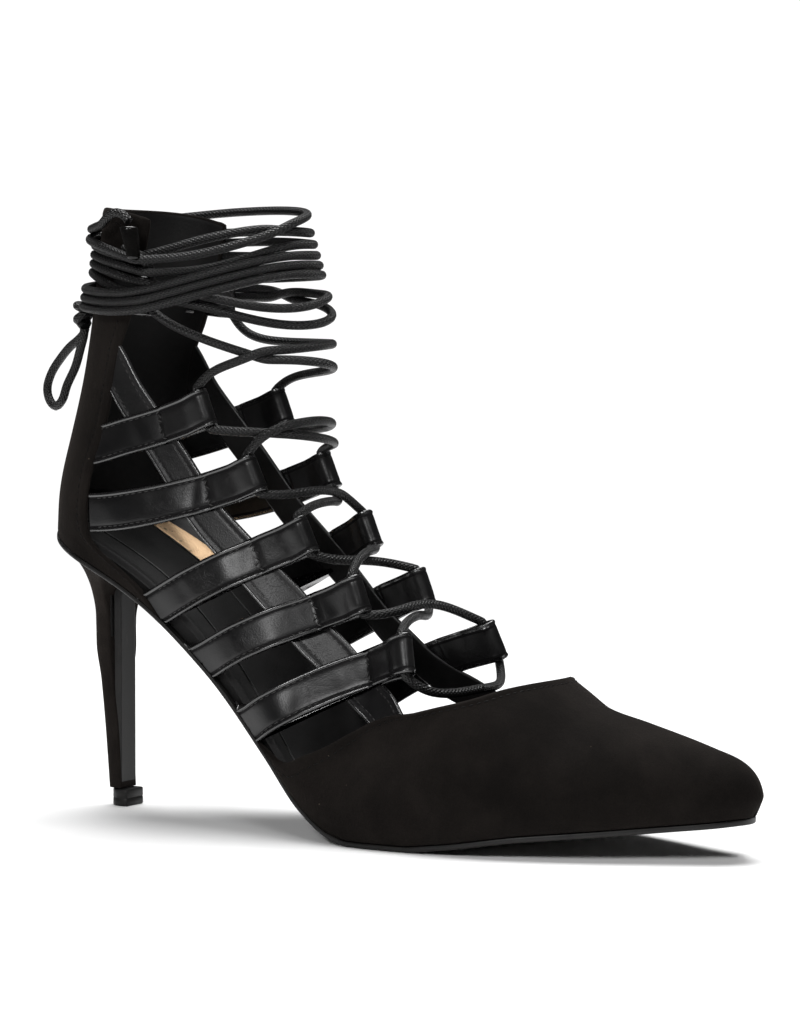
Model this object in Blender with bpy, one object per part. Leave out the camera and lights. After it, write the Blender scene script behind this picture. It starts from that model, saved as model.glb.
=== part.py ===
# Lace-up stiletto heel, right shoe, as solids at their real size.
# Frame: origin at the centre of the heel lift's floor face, +X to the toe,
# +Y to the inner side of the foot, +Z up, floor at Z = 0.
# All sizes below are in millimetres, and meshes are made in metres.
# "Last" means the form inside the upper: the upper's inner face lies on it.
import math

import bmesh
import bpy
import numpy as np
from mathutils import Vector

MM = 0.001
OUTER = -1.0
INNER = 1.0

# Last
LAST_LENGTH = 237.5
SEAT_BACK = 18.5
BALL_WIDTH = 76.0
SEAT_RADIUS = 22.0
TOE_RADIUS = 11.0
INSTEP_HEIGHT = 79.0
ANKLE_WIDTH = 40.0
THROAT_GAP = 40.0
ANKLE_LEAN = 17.3
COLLAR_HEIGHT = 190.0
COLLAR_DROP = 4.5
HEEL_HEIGHT = 87.5
TOE_SPRING = 10.5
TOE_NOSE = 3.0
NOSE_HEIGHT = 6.0

# Thicknesses and the gap between pieces
OUTSOLE = 1.7
INSOLE = 2.6
INSOLE_SEAT = 5.6
SUEDE_WALL = 1.6
STRAP_WALL = 1.3
GAP = 0.3
INSOLE_ROOM = 0.7

# Straps and their lace loops
STRAP_WIDTH = 12.0
SLANT_WIDTH = 10.0
LOOP_HOLE = 3.6
LOOP_WALL = 1.1
LOOP_FOLD = 17.0
STRAP_LIFT = 1.1

# Heel
LIFT_HEIGHT = 5.5
LIFT_DEPTH = 7.6
LIFT_WIDTH = 9.2

# Lace
LACE = 2.8
LACE_SIDES = 6
LACE_TURNS = 8
WRAP_STEPS = 20
WRAP_BACK_BELOW = 27.5
WRAP_BACK_RISE = 18.5
WRAP_FRONT_BELOW = 31.0
WRAP_FRONT_RISE = 28.5
WRAP_FRONT_FAR = 78.5
WRAP_FRONT_NEAR = 68.8
WRAP_DIP = 2.3
WRAP_SLACK = 0.4


class Table:
    """Rows of hand-chosen shares, read by column name."""

    def __init__(self, names, *rows):
        self.columns = {name: np.array([row[i] for row in rows], float)
                        for i, name in enumerate(names.split())}

    def __getitem__(self, name):
        return self.columns[name]

    def rows(self):
        names = list(self.columns)
        count = len(self.columns[names[0]])
        return [{name: float(self.columns[name][i]) for name in names} for i in range(count)]


# Underside of the outsole, from the back of the seat (0) to the toe tip (1):
# seat is a share of HEEL_HEIGHT, toe a share of TOE_SPRING.
UNDERSIDE = Table(
    "along seat toe",
    (0.000, 1.000, 0.00),
    (0.080, 0.905, 0.00),
    (0.185, 0.760, 0.00),
    (0.285, 0.550, 0.00),
    (0.390, 0.272, 0.00),
    (0.450, 0.104, 0.00),
    (0.505, 0.016, 0.00),
    (0.540, -0.002, 0.00),
    (0.600, -0.002, 0.00),
    (0.660, 0.000, 0.12),
    (0.760, 0.000, 0.46),
    (0.865, 0.000, 0.70),
    (1.000, 0.000, 1.00),
)

# Half widths of the last's sole, as shares of BALL_WIDTH, before its round ends.
OUTLINE = Table(
    "along outer inner",
    (0.00, 0.300, 0.300),
    (0.10, 0.312, 0.308),
    (0.20, 0.335, 0.318),
    (0.30, 0.352, 0.328),
    (0.40, 0.408, 0.362),
    (0.50, 0.476, 0.438),
    (0.57, 0.505, 0.488),
    (0.63, 0.500, 0.490),
    (0.70, 0.476, 0.455),
    (0.78, 0.412, 0.380),
    (0.86, 0.310, 0.278),
    (0.93, 0.200, 0.176),
    (1.00, 0.105, 0.095),
)

# Ridge of the last above its sole, as a share of INSTEP_HEIGHT. The side wall
# swells up to the belly, a share of that height, then rounds over to the ridge.
RIDGE = Table(
    "along height belly swell",
    (0.00, 3.30, 0.14, 0.035),
    (0.18, 2.90, 0.15, 0.035),
    (0.27, 2.20, 0.18, 0.035),
    (0.34, 1.37, 0.21, 0.030),
    (0.41, 1.08, 0.18, 0.025),
    (0.48, 1.01, 0.15, 0.020),
    (0.575, 0.90, 0.10, 0.016),
    (0.66, 0.725, 0.10, 0.014),
    (0.75, 0.500, 0.10, 0.012),
    (0.79, 0.410, 0.10, 0.010),
    (0.855, 0.340, 0.10, 0.008),
    (0.92, 0.270, 0.10, 0.006),
    (0.97, 0.210, 0.10, 0.004),
    (1.00, 0.175, 0.10, 0.002),
)

# Slack side walls along the throat: above the belly they close in to half a
# share of THROAT_GAP at a height that is a share of INSTEP_HEIGHT. hold tells
# how far they do, instead of rounding over to the ridge.
THROAT = Table(
    "along gap height hold",
    (0.00, 1.00, 1.20, 1.0),
    (0.28, 1.00, 0.86, 1.0),
    (0.36, 0.96, 0.82, 1.0),
    (0.43, 0.84, 0.80, 1.0),
    (0.51, 0.88, 0.74, 1.0),
    (0.56, 1.06, 0.66, 0.9),
    (0.61, 1.30, 0.56, 0.5),
    (0.68, 1.40, 0.50, 0.0),
    (1.00, 1.40, 0.50, 0.0),
)

# Back line of the last: up is a share of the way from seat to collar,
# lean a share of ANKLE_LEAN.
BACK_LINE = Table(
    "up lean",
    (0.0, 0.00),
    (0.1, 0.07),
    (0.3, 0.32),
    (0.5, 0.57),
    (0.7, 0.77),
    (1.0, 1.00),
)

# Front edge of the counter: up is a share of its height above the sole,
# forward a share of LAST_LENGTH from the back of the seat.
COUNTER_EDGE = Table(
    "up forward",
    (0.00, 0.215),
    (0.026, 0.189),
    (0.039, 0.154),
    (0.052, 0.118),
    (0.084, 0.097),
    (0.13, 0.094),
    (0.245, 0.098),
    (0.385, 0.112),
    (0.50, 0.120),
    (0.64, 0.132),
    (0.73, 0.148),
    (0.90, 0.172),
    (1.00, 0.182),
)

# Topline of the vamp: up is a share of the last's height at that place,
# along the place on the last.
TOPLINE = Table(
    "up along",
    (0.00, 0.385),
    (0.06, 0.421),
    (0.20, 0.464),
    (0.43, 0.538),
    (0.57, 0.614),
    (0.735, 0.680),
    (0.88, 0.715),
    (1.00, 0.742),
)

# Stations of the vamp as shares of the way from its topline to the toe tip:
# close together over the bent ball of the sole and round the toe.
VAMP_STATIONS = (0.0, 0.05, 0.1, 0.15, 0.2, 0.26, 0.33, 0.42, 0.53, 0.65, 0.76, 0.85, 0.915, 0.955, 0.98, 0.993, 1.0)

# Cross straps from the collar down, by the middle of their base and end in side
# view: along is a share of LAST_LENGTH, rise above the sole a share of
# INSTEP_HEIGHT. bow is how far a strap's middle lies off the straight line, in widths.
STRAPS = Table(
    "base_along base_rise end_along end_rise bow",
    (0.126, 1.110, 0.190, 1.195, 0.00),
    (0.101, 0.468, 0.282, 0.987, -0.08),
    (0.103, 0.209, 0.356, 0.949, -0.25),
    (0.214, 0.039, 0.427, 0.946, 0.00),
    (0.297, 0.053, 0.509, 0.890, 0.04),
    (0.374, 0.051, 0.597, 0.691, 0.13),
)

# Middle of the slanting strap along the throat, from the counter down to the vamp.
SLANT = Table(
    "along rise",
    (0.099, 0.900),
    (0.124, 0.833),
    (0.150, 0.749),
    (0.221, 0.630),
    (0.297, 0.551),
    (0.380, 0.568),
    (0.458, 0.581),
    (0.546, 0.484),
    (0.583, 0.400),
)

# The lace between its holes, in millimetres, from a hole's top on the outer
# side to the bottom of the next hole up on the inner side. The run that
# crosses it is its mirror image.
CROSSINGS = {
    "lace_crossing_low": (
        (118.1, -24.3, 62.6), (117.2, -21.8, 66.2), (113.5, -12.0, 69.0), (108.5, 0.0, 68.0),
        (104.5, 11.0, 64.5), (102.8, 17.6, 62.9), (102.0, 19.2, 65.5),
    ),
    "lace_crossing_middle": (
        (97.2, -18.8, 79.6), (96.0, -16.0, 82.4), (93.0, -8.5, 84.5), (89.5, 0.0, 84.3),
        (86.0, 9.5, 81.8), (83.8, 16.5, 80.0), (83.2, 18.5, 82.0),
    ),
    "lace_crossing_high": (
        (77.8, -18.9, 96.7), (76.8, -16.5, 99.6), (74.0, -8.5, 101.6), (71.0, 0.0, 101.4),
        (68.2, 10.0, 99.3), (66.6, 18.0, 97.8), (66.1, 20.6, 100.0),
    ),
    "lace_turn_low": (
        (60.8, -21.2, 115.0), (61.5, -21.0, 118.0), (67.0, -17.5, 120.5), (73.0, -8.0, 121.3), (75.0, 0.0, 120.8),
        (73.5, 9.0, 120.0), (67.0, 18.0, 118.8), (56.0, 21.8, 117.8), (49.6, 22.2, 118.0), (48.1, 21.8, 120.0),
    ),
    "lace_turn_high": (
        (43.2, -21.8, 135.0), (44.0, -22.0, 138.5), (52.0, -20.5, 142.5), (65.0, -15.0, 146.5), (75.0, 0.0, 148.5),
        (66.0, 15.5, 149.5), (50.0, 21.0, 150.5), (36.0, 22.4, 152.0), (26.5, 22.4, 152.6), (24.0, 21.9, 153.6),
    ),
}

# The lowest bar of the lace, from hole to hole under the first pair of loops.
LOW_BAR = (
    (121.9, -28.0, 48.6), (123.5, -26.0, 45.6), (128.5, -16.0, 44.4), (131.0, 0.0, 44.4),
    (128.5, 16.0, 44.4), (123.5, 26.0, 45.6), (121.9, 28.0, 48.6),
)

# Loop, end and knot of the lace that hang free, in millimetres, placed for a
# collar of CORD_COLLAR. They move up and down with the collar.
CORD_COLLAR = 190.0
HANGING_LOOP = (
    (-7.5, -10.4, 152.8), (-8.4, -10.0, 151.2), (-11.4, -8.9, 149.2), (-15.6, -7.6, 147.0), (-20.0, -6.2, 143.8),
    (-24.8, -5.2, 138.8), (-26.8, -5.0, 134.0), (-25.4, -5.9, 130.2), (-21.6, -7.4, 127.9), (-17.8, -8.8, 130.2),
    (-15.6, -9.4, 134.6), (-11.9, -9.8, 140.6), (-8.6, -11.4, 146.6), (-6.3, -12.7, 150.8), (-5.9, -13.0, 152.7),
)
FREE_END = (
    (-6.2, 2.0, 185.4), (-5.8, -6.0, 184.6), (-2.4, -13.6, 184.0), (3.4, -19.8, 184.2), (9.4, -24.2, 185.0),
    (13.4, -26.6, 187.0), (17.3, -27.8, 188.2), (20.6, -28.2, 187.4), (22.7, -28.4, 185.4),
)
TIP_LENGTH = 10.5
TIP_TOP = 5.8
TIP_END = 4.0
TIP_LEAN = 0.2
KNOT_PLACE = (-6.7, -11.7, 157.3)
KNOT = 7.6
KNOT_DEPTH = 0.27
KNOT_RISE = 0.6

# Sections of the heel from its tip up to the seat, all as shares: back and
# breast of SEAT_BACK from the lift's centre line, half of half the seat width.
HEEL = Table(
    "up back breast half round",
    (0.00, -0.26, 0.075, 0.175, 0.60),
    (0.25, -0.335, 0.025, 0.190, 0.60),
    (0.45, -0.40, -0.035, 0.220, 0.60),
    (0.60, -0.46, -0.030, 0.300, 0.65),
    (0.72, -0.47, -0.040, 0.310, 0.70),
    (0.82, -0.50, -0.035, 0.400, 0.75),
    (0.90, -0.61, 0.070, 0.560, 0.85),
    (0.96, -0.79, 0.240, 0.770, 0.92),
    (1.00, -1.00, 0.480, 0.985, 1.00),
)


def fair(xs, ys, x):
    """Smooth curve through the rows that never overshoots them."""
    x = np.asarray(x, float)
    step = np.diff(xs)
    slope = np.diff(ys) / step
    tangent = np.zeros(len(xs))
    tangent[0] = slope[0]
    tangent[-1] = slope[-1]
    for i in range(1, len(xs) - 1):
        if slope[i - 1] * slope[i] > 0:
            first = 2 * step[i] + step[i - 1]
            second = step[i] + 2 * step[i - 1]
            tangent[i] = (first + second) / (first / slope[i - 1] + second / slope[i])
    clamped = np.clip(x, xs[0], xs[-1])
    k = np.clip(np.searchsorted(xs, clamped, side="right") - 1, 0, len(step) - 1)
    t = (clamped - xs[k]) / step[k]
    return ((2 * t ** 3 - 3 * t ** 2 + 1) * ys[k] + (t ** 3 - 2 * t ** 2 + t) * step[k] * tangent[k]
            + (3 * t ** 2 - 2 * t ** 3) * ys[k + 1] + (t ** 3 - t ** 2) * step[k] * tangent[k + 1])


def ease(t):
    t = np.clip(t, 0.0, 1.0)
    return t * t * (3 - 2 * t)


def place(along):
    return along * LAST_LENGTH - SEAT_BACK


def share(x):
    return (np.asarray(x, float) + SEAT_BACK) / LAST_LENGTH


def underside(x):
    """Height of the outsole's underside. Its lowest stretch is cut flat on the floor."""
    along = share(x)
    seat = fair(UNDERSIDE["along"], UNDERSIDE["seat"], along)
    toe = fair(UNDERSIDE["along"], UNDERSIDE["toe"], along)
    return np.maximum(0.0, seat * HEEL_HEIGHT + toe * TOE_SPRING)


def feather(x):
    """Height of the last's lower edge, where the upper meets the outsole."""
    return underside(x) + OUTSOLE + GAP


def round_end(distance, radius):
    """Share of the full width at a distance from a round end."""
    t = np.clip(1.0 - np.asarray(distance, float) / radius, 0.0, 1.0)
    return np.sqrt(np.maximum(0.0, 1.0 - t * t))


def sole_half(x, side):
    """Half width of the last's sole, with its round seat and toe."""
    column = "outer" if side < 0 else "inner"
    wide = fair(OUTLINE["along"], OUTLINE[column], share(x)) * BALL_WIDTH
    return wide * round_end(place(1.0) - x, TOE_RADIUS) * round_end(x - place(0.0), SEAT_RADIUS)


def back_x(z):
    """Back line of the last at a height."""
    seat_z = HEEL_HEIGHT + OUTSOLE + GAP
    up = (np.asarray(z, float) - seat_z) / (COLLAR_HEIGHT - seat_z)
    return -SEAT_BACK + ANKLE_LEAN * fair(BACK_LINE["up"], BACK_LINE["lean"], up)


def ridge_height(x):
    """Height of the last above its sole, with the blunt nose of the toe."""
    t = np.clip(1.0 - (place(1.0) - np.asarray(x, float)) / TOE_RADIUS, 0.0, 1.0)
    nose = np.cbrt(np.maximum(0.0, 1.0 - t ** 3))
    return fair(RIDGE["along"], RIDGE["height"], share(x)) * INSTEP_HEIGHT * nose


def last_half(x, z, side):
    """Half width of the last at a place in side view."""
    x = np.asarray(x, float)
    z = np.asarray(z, float)
    column = "outer" if side < 0 else "inner"
    along = share(x)
    foot = feather(x)
    height = np.maximum(ridge_height(x), 0.01)
    belly = fair(RIDGE["along"], RIDGE["belly"], along) * height
    rise = np.clip((z - foot) / np.maximum(belly, 0.01), 0.0, 1.0)
    wide = fair(OUTLINE["along"], OUTLINE[column], along)
    wide = wide + fair(RIDGE["along"], RIDGE["swell"], along) * np.sin(rise * math.pi / 2)
    wide = wide * BALL_WIDTH
    seat_z = HEEL_HEIGHT + OUTSOLE + GAP
    neck = ease((z - seat_z - 0.06 * (COLLAR_HEIGHT - seat_z)) / (0.55 * (COLLAR_HEIGHT - seat_z)))
    wide = wide + (np.minimum(wide, ANKLE_WIDTH / 2) - wide) * neck
    over = np.clip((z - foot - belly) / np.maximum(height - belly, 0.01), 0.0, 1.0)
    rounded = wide * np.sqrt(np.maximum(0.0, 1.0 - over * over))
    gap = np.minimum(fair(THROAT["along"], THROAT["gap"], along) * THROAT_GAP / 2, wide)
    throat = fair(THROAT["along"], THROAT["height"], along) * INSTEP_HEIGHT
    slack = wide + (gap - wide) * ease((z - foot - 0.1 * throat) / (0.9 * throat))
    hold = fair(THROAT["along"], THROAT["hold"], along)
    wide = rounded + (slack - rounded) * hold
    return wide * round_end(place(1.0) - x, TOE_RADIUS) * round_end(x - back_x(z), SEAT_RADIUS)


def on_last(x, z, side):
    return np.stack([x, side * last_half(x, z, side), z], axis=-1)


def side_place(along, rise):
    """A place in side view: rise above the sole is a share of INSTEP_HEIGHT."""
    x = place(along)
    return x, feather(x) + rise * INSTEP_HEIGHT


def grid_normals(grid):
    """Unit normals of a grid of points, rows by columns."""
    along = np.gradient(grid, axis=1)
    across = np.gradient(grid, axis=0)
    normal = np.cross(along, across)
    size = np.linalg.norm(normal, axis=-1, keepdims=True)
    return normal / np.maximum(size, 1e-9)


def new_object(name, vertices, faces):
    mesh = bpy.data.meshes.new(name)
    mesh.from_pydata([tuple(float(c) * MM for c in v) for v in vertices], [], faces)
    edit = bmesh.new()
    edit.from_mesh(mesh)
    bmesh.ops.remove_doubles(edit, verts=edit.verts, dist=0.00002)
    bmesh.ops.recalc_face_normals(edit, faces=edit.faces)
    edit.to_mesh(mesh)
    edit.free()
    obj = bpy.data.objects.new(name, mesh)
    bpy.context.scene.collection.objects.link(obj)
    return obj


def wall(name, grid, low, high, flip=False):
    """A wall over a grid of points, from the offset low to the offset high, kept above the outsole."""
    rows, cols = grid.shape[:2]
    normal = grid_normals(grid) * (1.0 if flip else -1.0)
    low = np.broadcast_to(low, (rows, cols))[..., None]
    high = np.broadcast_to(high, (rows, cols))[..., None]
    points = np.concatenate([(grid + normal * low).reshape(-1, 3),
                             (grid + normal * high).reshape(-1, 3)])
    points[:, 2] = np.maximum(points[:, 2], feather(points[:, 0]))
    top = rows * cols

    def at(i, j):
        return i * cols + j

    faces = []
    for i in range(rows - 1):
        for j in range(cols - 1):
            quad = (at(i, j), at(i, j + 1), at(i + 1, j + 1), at(i + 1, j))
            faces.append(quad)
            faces.append(tuple(top + v for v in reversed(quad)))
    rim = [at(0, j) for j in range(cols)] + [at(i, cols - 1) for i in range(1, rows)]
    rim += [at(rows - 1, j) for j in range(cols - 2, -1, -1)] + [at(i, 0) for i in range(rows - 2, 0, -1)]
    for a, b in zip(rim, rim[1:] + rim[:1]):
        faces.append((a, b, top + b, top + a))
    return new_object(name, points, faces)


def loft(name, rings):
    """A closed solid through rings of as many points each."""
    rings = np.asarray(rings, float)
    count, size = rings.shape[:2]
    faces = []
    for i in range(count - 1):
        for j in range(size):
            k = (j + 1) % size
            faces.append((i * size + j, i * size + k, (i + 1) * size + k, (i + 1) * size + j))
    faces.append(tuple(range(size)))
    faces.append(tuple((count - 1) * size + j for j in range(size)))
    return new_object(name, rings.reshape(-1, 3), faces)


def cut_or_join(obj, other, operation):
    """Cuts or joins a solid with another, which is used up."""
    modifier = obj.modifiers.new("solid", "BOOLEAN")
    modifier.operation = operation
    modifier.solver = "EXACT"
    modifier.object = other
    graph = bpy.context.evaluated_depsgraph_get()
    mesh = bpy.data.meshes.new_from_object(obj.evaluated_get(graph))
    obj.modifiers.clear()
    old = obj.data
    obj.data = mesh
    bpy.data.meshes.remove(old)
    spent = other.data
    bpy.data.objects.remove(other)
    if spent.users == 0:
        bpy.data.meshes.remove(spent)
    return obj


def finish(obj, name, colour, roughness, smooth=40.0):
    """Names a solid, shades it and gives it its own material."""
    obj.name = name
    obj.data.name = name
    material = bpy.data.materials.new(name)
    material.use_nodes = True
    shader = material.node_tree.nodes["Principled BSDF"]
    shader.inputs["Base Color"].default_value = (*colour, 1.0)
    shader.inputs["Roughness"].default_value = roughness
    shader.inputs["Metallic"].default_value = 0.0
    obj.data.materials.clear()
    obj.data.materials.append(material)
    if obj.type == "MESH":
        obj.data.shade_smooth()
        obj.data.set_sharp_from_angle(angle=math.radians(smooth))
    return obj


def sole_layer(name, start, stop, bottom, top, half, stations=46):
    """A layer of the sole, flat across, with stations closer at its round ends."""
    turn = np.linspace(0.0, math.pi, stations)
    middle = 0.5 * (start + stop)
    xs = middle - 0.5 * (stop - start) * np.cos(turn)
    rings = []
    for x in xs:
        outer = -half(x, OUTER)
        inner = half(x, INNER)
        rings.append([(x, outer, bottom(x)), (x, inner, bottom(x)), (x, inner, top(x)), (x, outer, top(x))])
    return loft(name, rings)


def make_outsole():
    reach = SUEDE_WALL * 0.8

    def half(x, side):
        return sole_half(np.clip(x, place(0.0) + 0.12, place(1.0) - 0.12), side) + SUEDE_WALL

    return sole_layer("outsole", place(0.0) - reach, place(1.0) + reach,
                      lambda x: underside(x), lambda x: underside(x) + OUTSOLE, half)


def make_insole():
    def top(x):
        seat = float(ease(2.2 - 5.0 * share(x)))
        return feather(x) + INSOLE + (INSOLE_SEAT - INSOLE) * seat

    def half(x, side):
        return np.minimum(last_half(x, feather(x), side), last_half(x, top(x), side)) - INSOLE_ROOM

    start = float(back_x(top(place(0.0)))) + 2 * INSOLE_ROOM
    return sole_layer("insole", start, place(1.0) - TOE_NOSE, feather, top, half)


def make_heel():
    """The heel block: horizontal sections that end on the outsole's underside."""
    seat_half = float(sole_half(SEAT_RADIUS - SEAT_BACK, OUTER)) + SUEDE_WALL
    rings = []
    for up in (0.0, 0.15, 0.3, 0.45, 0.6, 0.7, 0.78, 0.84, 0.89, 0.93, 0.965, 1.0):
        row = {name: float(fair(HEEL["up"], HEEL[name], up)) for name in ("back", "breast", "half", "round")}
        back = row["back"] * (SEAT_BACK + SUEDE_WALL * 0.6)
        breast = row["breast"] * SEAT_BACK
        half = row["half"] * seat_half
        turn = min((breast - back) * row["round"], half * 1.3)
        ring = []
        for angle in np.linspace(-90.0, 90.0, 13):
            a = math.radians(angle)
            ring.append((back + turn - turn * math.cos(a), half * math.sin(a)))
        for across in (0.5, 0.0, -0.5):
            ring.append((breast - 0.6 * (1.0 - across * across) * row["half"], across * half * 1.0))
        ring.insert(13, (breast, half * 0.96))
        ring.append((breast, -half * 0.96))
        bottom = LIFT_HEIGHT + GAP
        rings.append([(x, y, bottom + up * (float(underside(x)) - GAP - bottom)) for x, y in ring])
    return loft("heel", rings)


def make_heel_lift():
    ring = []
    for angle in np.linspace(-90.0, 90.0, 15):
        a = math.radians(angle)
        ring.append((LIFT_WIDTH / 2 - LIFT_DEPTH / 2 - LIFT_WIDTH / 2 * math.cos(a), LIFT_WIDTH / 2 * math.sin(a)))
    ring.append((LIFT_DEPTH / 2, LIFT_WIDTH / 2))
    ring.append((LIFT_DEPTH / 2, -LIFT_WIDTH / 2))
    return loft("heel_lift", [[(x, y, z) for x, y in ring] for z in (0.0, LIFT_HEIGHT)])


def make_vamp():
    """The vamp: from the topline to the toe, and from one sole edge over to the other."""
    around = np.linspace(0.0, math.pi, 21)
    along = VAMP_STATIONS
    grid = np.zeros((len(around), len(along), 3))
    for i, angle in enumerate(around):
        up = math.sin(angle)
        side = OUTER if angle < math.pi / 2 else INNER
        start = place(float(fair(TOPLINE["up"], TOPLINE["along"], up)))
        for j, t in enumerate(along):
            x = min(start + (place(1.0) - start) * t, place(1.0) - 0.02)
            z = float(feather(x) + up * ridge_height(x))
            nose = TOE_NOSE * float(ease((x - place(1.0)) / TOE_RADIUS + 1.0))
            lean = nose * min(1.0, up * float(ridge_height(x)) / NOSE_HEIGHT)
            grid[i, j] = (x + lean, side * float(last_half(x, z, side)), z)
    return wall("vamp", grid, 0.0, SUEDE_WALL, flip=True)


def make_counter():
    """The counter: round the seat from one front edge to the other, and up to the collar."""
    turns = np.linspace(-1.0, 1.0, 25)
    ups = np.concatenate([[0.0, 0.026, 0.039, 0.052, 0.084], np.linspace(0.14, 1.0, 9)])
    grid = np.zeros((len(ups), len(turns), 3))
    for i, up in enumerate(ups):
        edge = place(float(fair(COUNTER_EDGE["up"], COUNTER_EDGE["forward"], up)))
        for j, turn in enumerate(turns):
            side = OUTER if turn < 0 else INNER
            spread = 1.0 - math.cos(abs(turn) * math.pi / 2)
            x = place(0.0)
            z = COLLAR_HEIGHT
            for _ in range(30):
                top = COLLAR_HEIGHT - COLLAR_DROP * spread ** 2
                z = float(feather(x) + up * (top - feather(x)))
                x = float(back_x(z)) + (edge - float(back_x(z))) * spread
            grid[i, j] = (x, side * float(last_half(x, z, side)), z)
    return wall("counter", grid, 0.0, SUEDE_WALL)


def strip(name, centre, side, width, low, high, across=3):
    """A strap on the last. centre holds its middle line in side view."""
    centre = np.asarray(centre, float)
    run = np.gradient(centre, axis=0)
    run /= np.linalg.norm(run, axis=1, keepdims=True)
    square = np.stack([-run[:, 1], run[:, 0]], axis=1)
    grid = np.zeros((across, len(centre), 3))
    for i, share_across in enumerate(np.linspace(-0.5, 0.5, across)):
        flat = centre + square * (width * share_across)
        flat[:, 1] = np.maximum(flat[:, 1], feather(flat[:, 0]))
        grid[i] = on_last(flat[:, 0], flat[:, 1], side)
    return wall(name, grid, low, high, flip=side < 0), grid


def strap_line(row):
    """Middle line of a cross strap in side view, from its base to its end."""
    start = np.array(side_place(row["base_along"], row["base_rise"]))
    end = np.array(side_place(row["end_along"], row["end_rise"]))
    length = np.linalg.norm(end - start)
    run = (end - start) / length
    square = np.array([-run[1], run[0]])
    nose = LOOP_HOLE / 2 + LOOP_WALL
    back = [LOOP_FOLD + 1.0, LOOP_FOLD - 0.5, LOOP_FOLD * 0.6, nose * 2.4, nose * 1.6, nose, nose * 0.6, nose * 0.25, 0.0]
    first = np.linspace(0.0, max(length - back[0], 1.0), max(3, int(length / 10)), endpoint=False)
    runs = np.concatenate([first, [length - b for b in back if length - b > 0.5]])
    t = runs / length
    line = start + run * runs[:, None] + square * (4 * t * (1 - t) * row["bow"] * STRAP_WIDTH)[:, None]
    return line, runs, length


def make_strap(index, row, side):
    """A cross strap with the folded loop at its end, and the lace's hole through it."""
    line, runs, length = strap_line(row)
    nose = LOOP_HOLE / 2 + LOOP_WALL
    left = length - runs
    bulge = np.where(left < nose, np.sqrt(np.maximum(0.0, nose ** 2 - (nose - left) ** 2)), nose)
    fold = 1.0 - ease((left - nose) / (LOOP_FOLD * 0.45))
    half = np.where(left < nose, bulge, STRAP_WALL + (nose - STRAP_WALL) * fold)
    half = np.where(left > LOOP_FOLD, STRAP_WALL / 2, half)
    lift = STRAP_LIFT * ease(runs / (0.3 * length)) + STRAP_WALL / 2
    half = np.maximum(half, 0.05)
    strap, grid = strip(f"strap_{index}", line, side, STRAP_WIDTH, lift - half, lift + half)
    middle = len(runs) - 1 - int(np.argmin(np.abs(left[::-1] - nose)))
    normals = grid_normals(grid) * (1.0 if side < 0 else -1.0)
    axis = grid[:, middle] + normals[:, middle] * lift[middle]
    hole = rod("hole", axis[0] - (axis[-1] - axis[0]) * 0.3, axis[-1] + (axis[-1] - axis[0]) * 0.3, LOOP_HOLE / 2)
    return cut_or_join(strap, hole, "DIFFERENCE")


def rod(name, start, end, radius, sides=10):
    start = np.asarray(start, float)
    end = np.asarray(end, float)
    run = Vector(end - start).normalized()
    across = run.orthogonal().normalized()
    up = run.cross(across)
    rings = []
    for centre in (start, end):
        ring = []
        for k in range(sides):
            a = 2 * math.pi * k / sides
            offset = across * math.cos(a) + up * math.sin(a)
            ring.append(centre + np.array(offset) * radius)
        rings.append(ring)
    return loft(name, rings)


def make_slant(side):
    """The slanting strap, inside the cross straps, from the counter to the vamp."""
    t = np.linspace(0.0, 1.0, 21)
    ways = np.linspace(0.0, 1.0, len(SLANT["along"]))
    along = fair(ways, SLANT["along"], t)
    x, z = side_place(along, fair(ways, SLANT["rise"], t))
    slant, _ = strip("slant", np.stack([x, z], axis=1), side, SLANT_WIDTH, 0.0, STRAP_LIFT + 0.25)
    return slant


def make_upper():
    upper = make_counter()
    upper = cut_or_join(upper, make_slant(OUTER), "UNION")
    upper = cut_or_join(upper, make_slant(INNER), "UNION")
    upper = cut_or_join(upper, make_vamp(), "UNION")
    for index, row in enumerate(STRAPS.rows()):
        for side in (OUTER, INNER):
            upper = cut_or_join(upper, make_strap(index, row, side), "UNION")
    return upper


def route(points, spacing):
    """Evenly spaced points of a smooth curve through a route's own points."""
    points = np.asarray(points, float)
    runs = np.concatenate([[0.0], np.cumsum(np.linalg.norm(np.diff(points, axis=0), axis=1) ** 0.5)])
    slopes = np.gradient(points, runs, axis=0)
    fine = []
    for i in range(len(points) - 1):
        step = runs[i + 1] - runs[i]
        for t in np.linspace(0.0, 1.0, 16, endpoint=False):
            fine.append((2 * t ** 3 - 3 * t ** 2 + 1) * points[i] + (t ** 3 - 2 * t ** 2 + t) * step * slopes[i]
                        + (3 * t ** 2 - 2 * t ** 3) * points[i + 1] + (t ** 3 - t ** 2) * step * slopes[i + 1])
    fine = np.array(fine + [points[-1]])
    length = np.concatenate([[0.0], np.cumsum(np.linalg.norm(np.diff(fine, axis=0), axis=1))])
    marks = np.linspace(0.0, length[-1], max(3, int(round(length[-1] / spacing)) + 1))
    return np.stack([np.interp(marks, length, fine[:, i]) for i in range(3)], axis=1)


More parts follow.
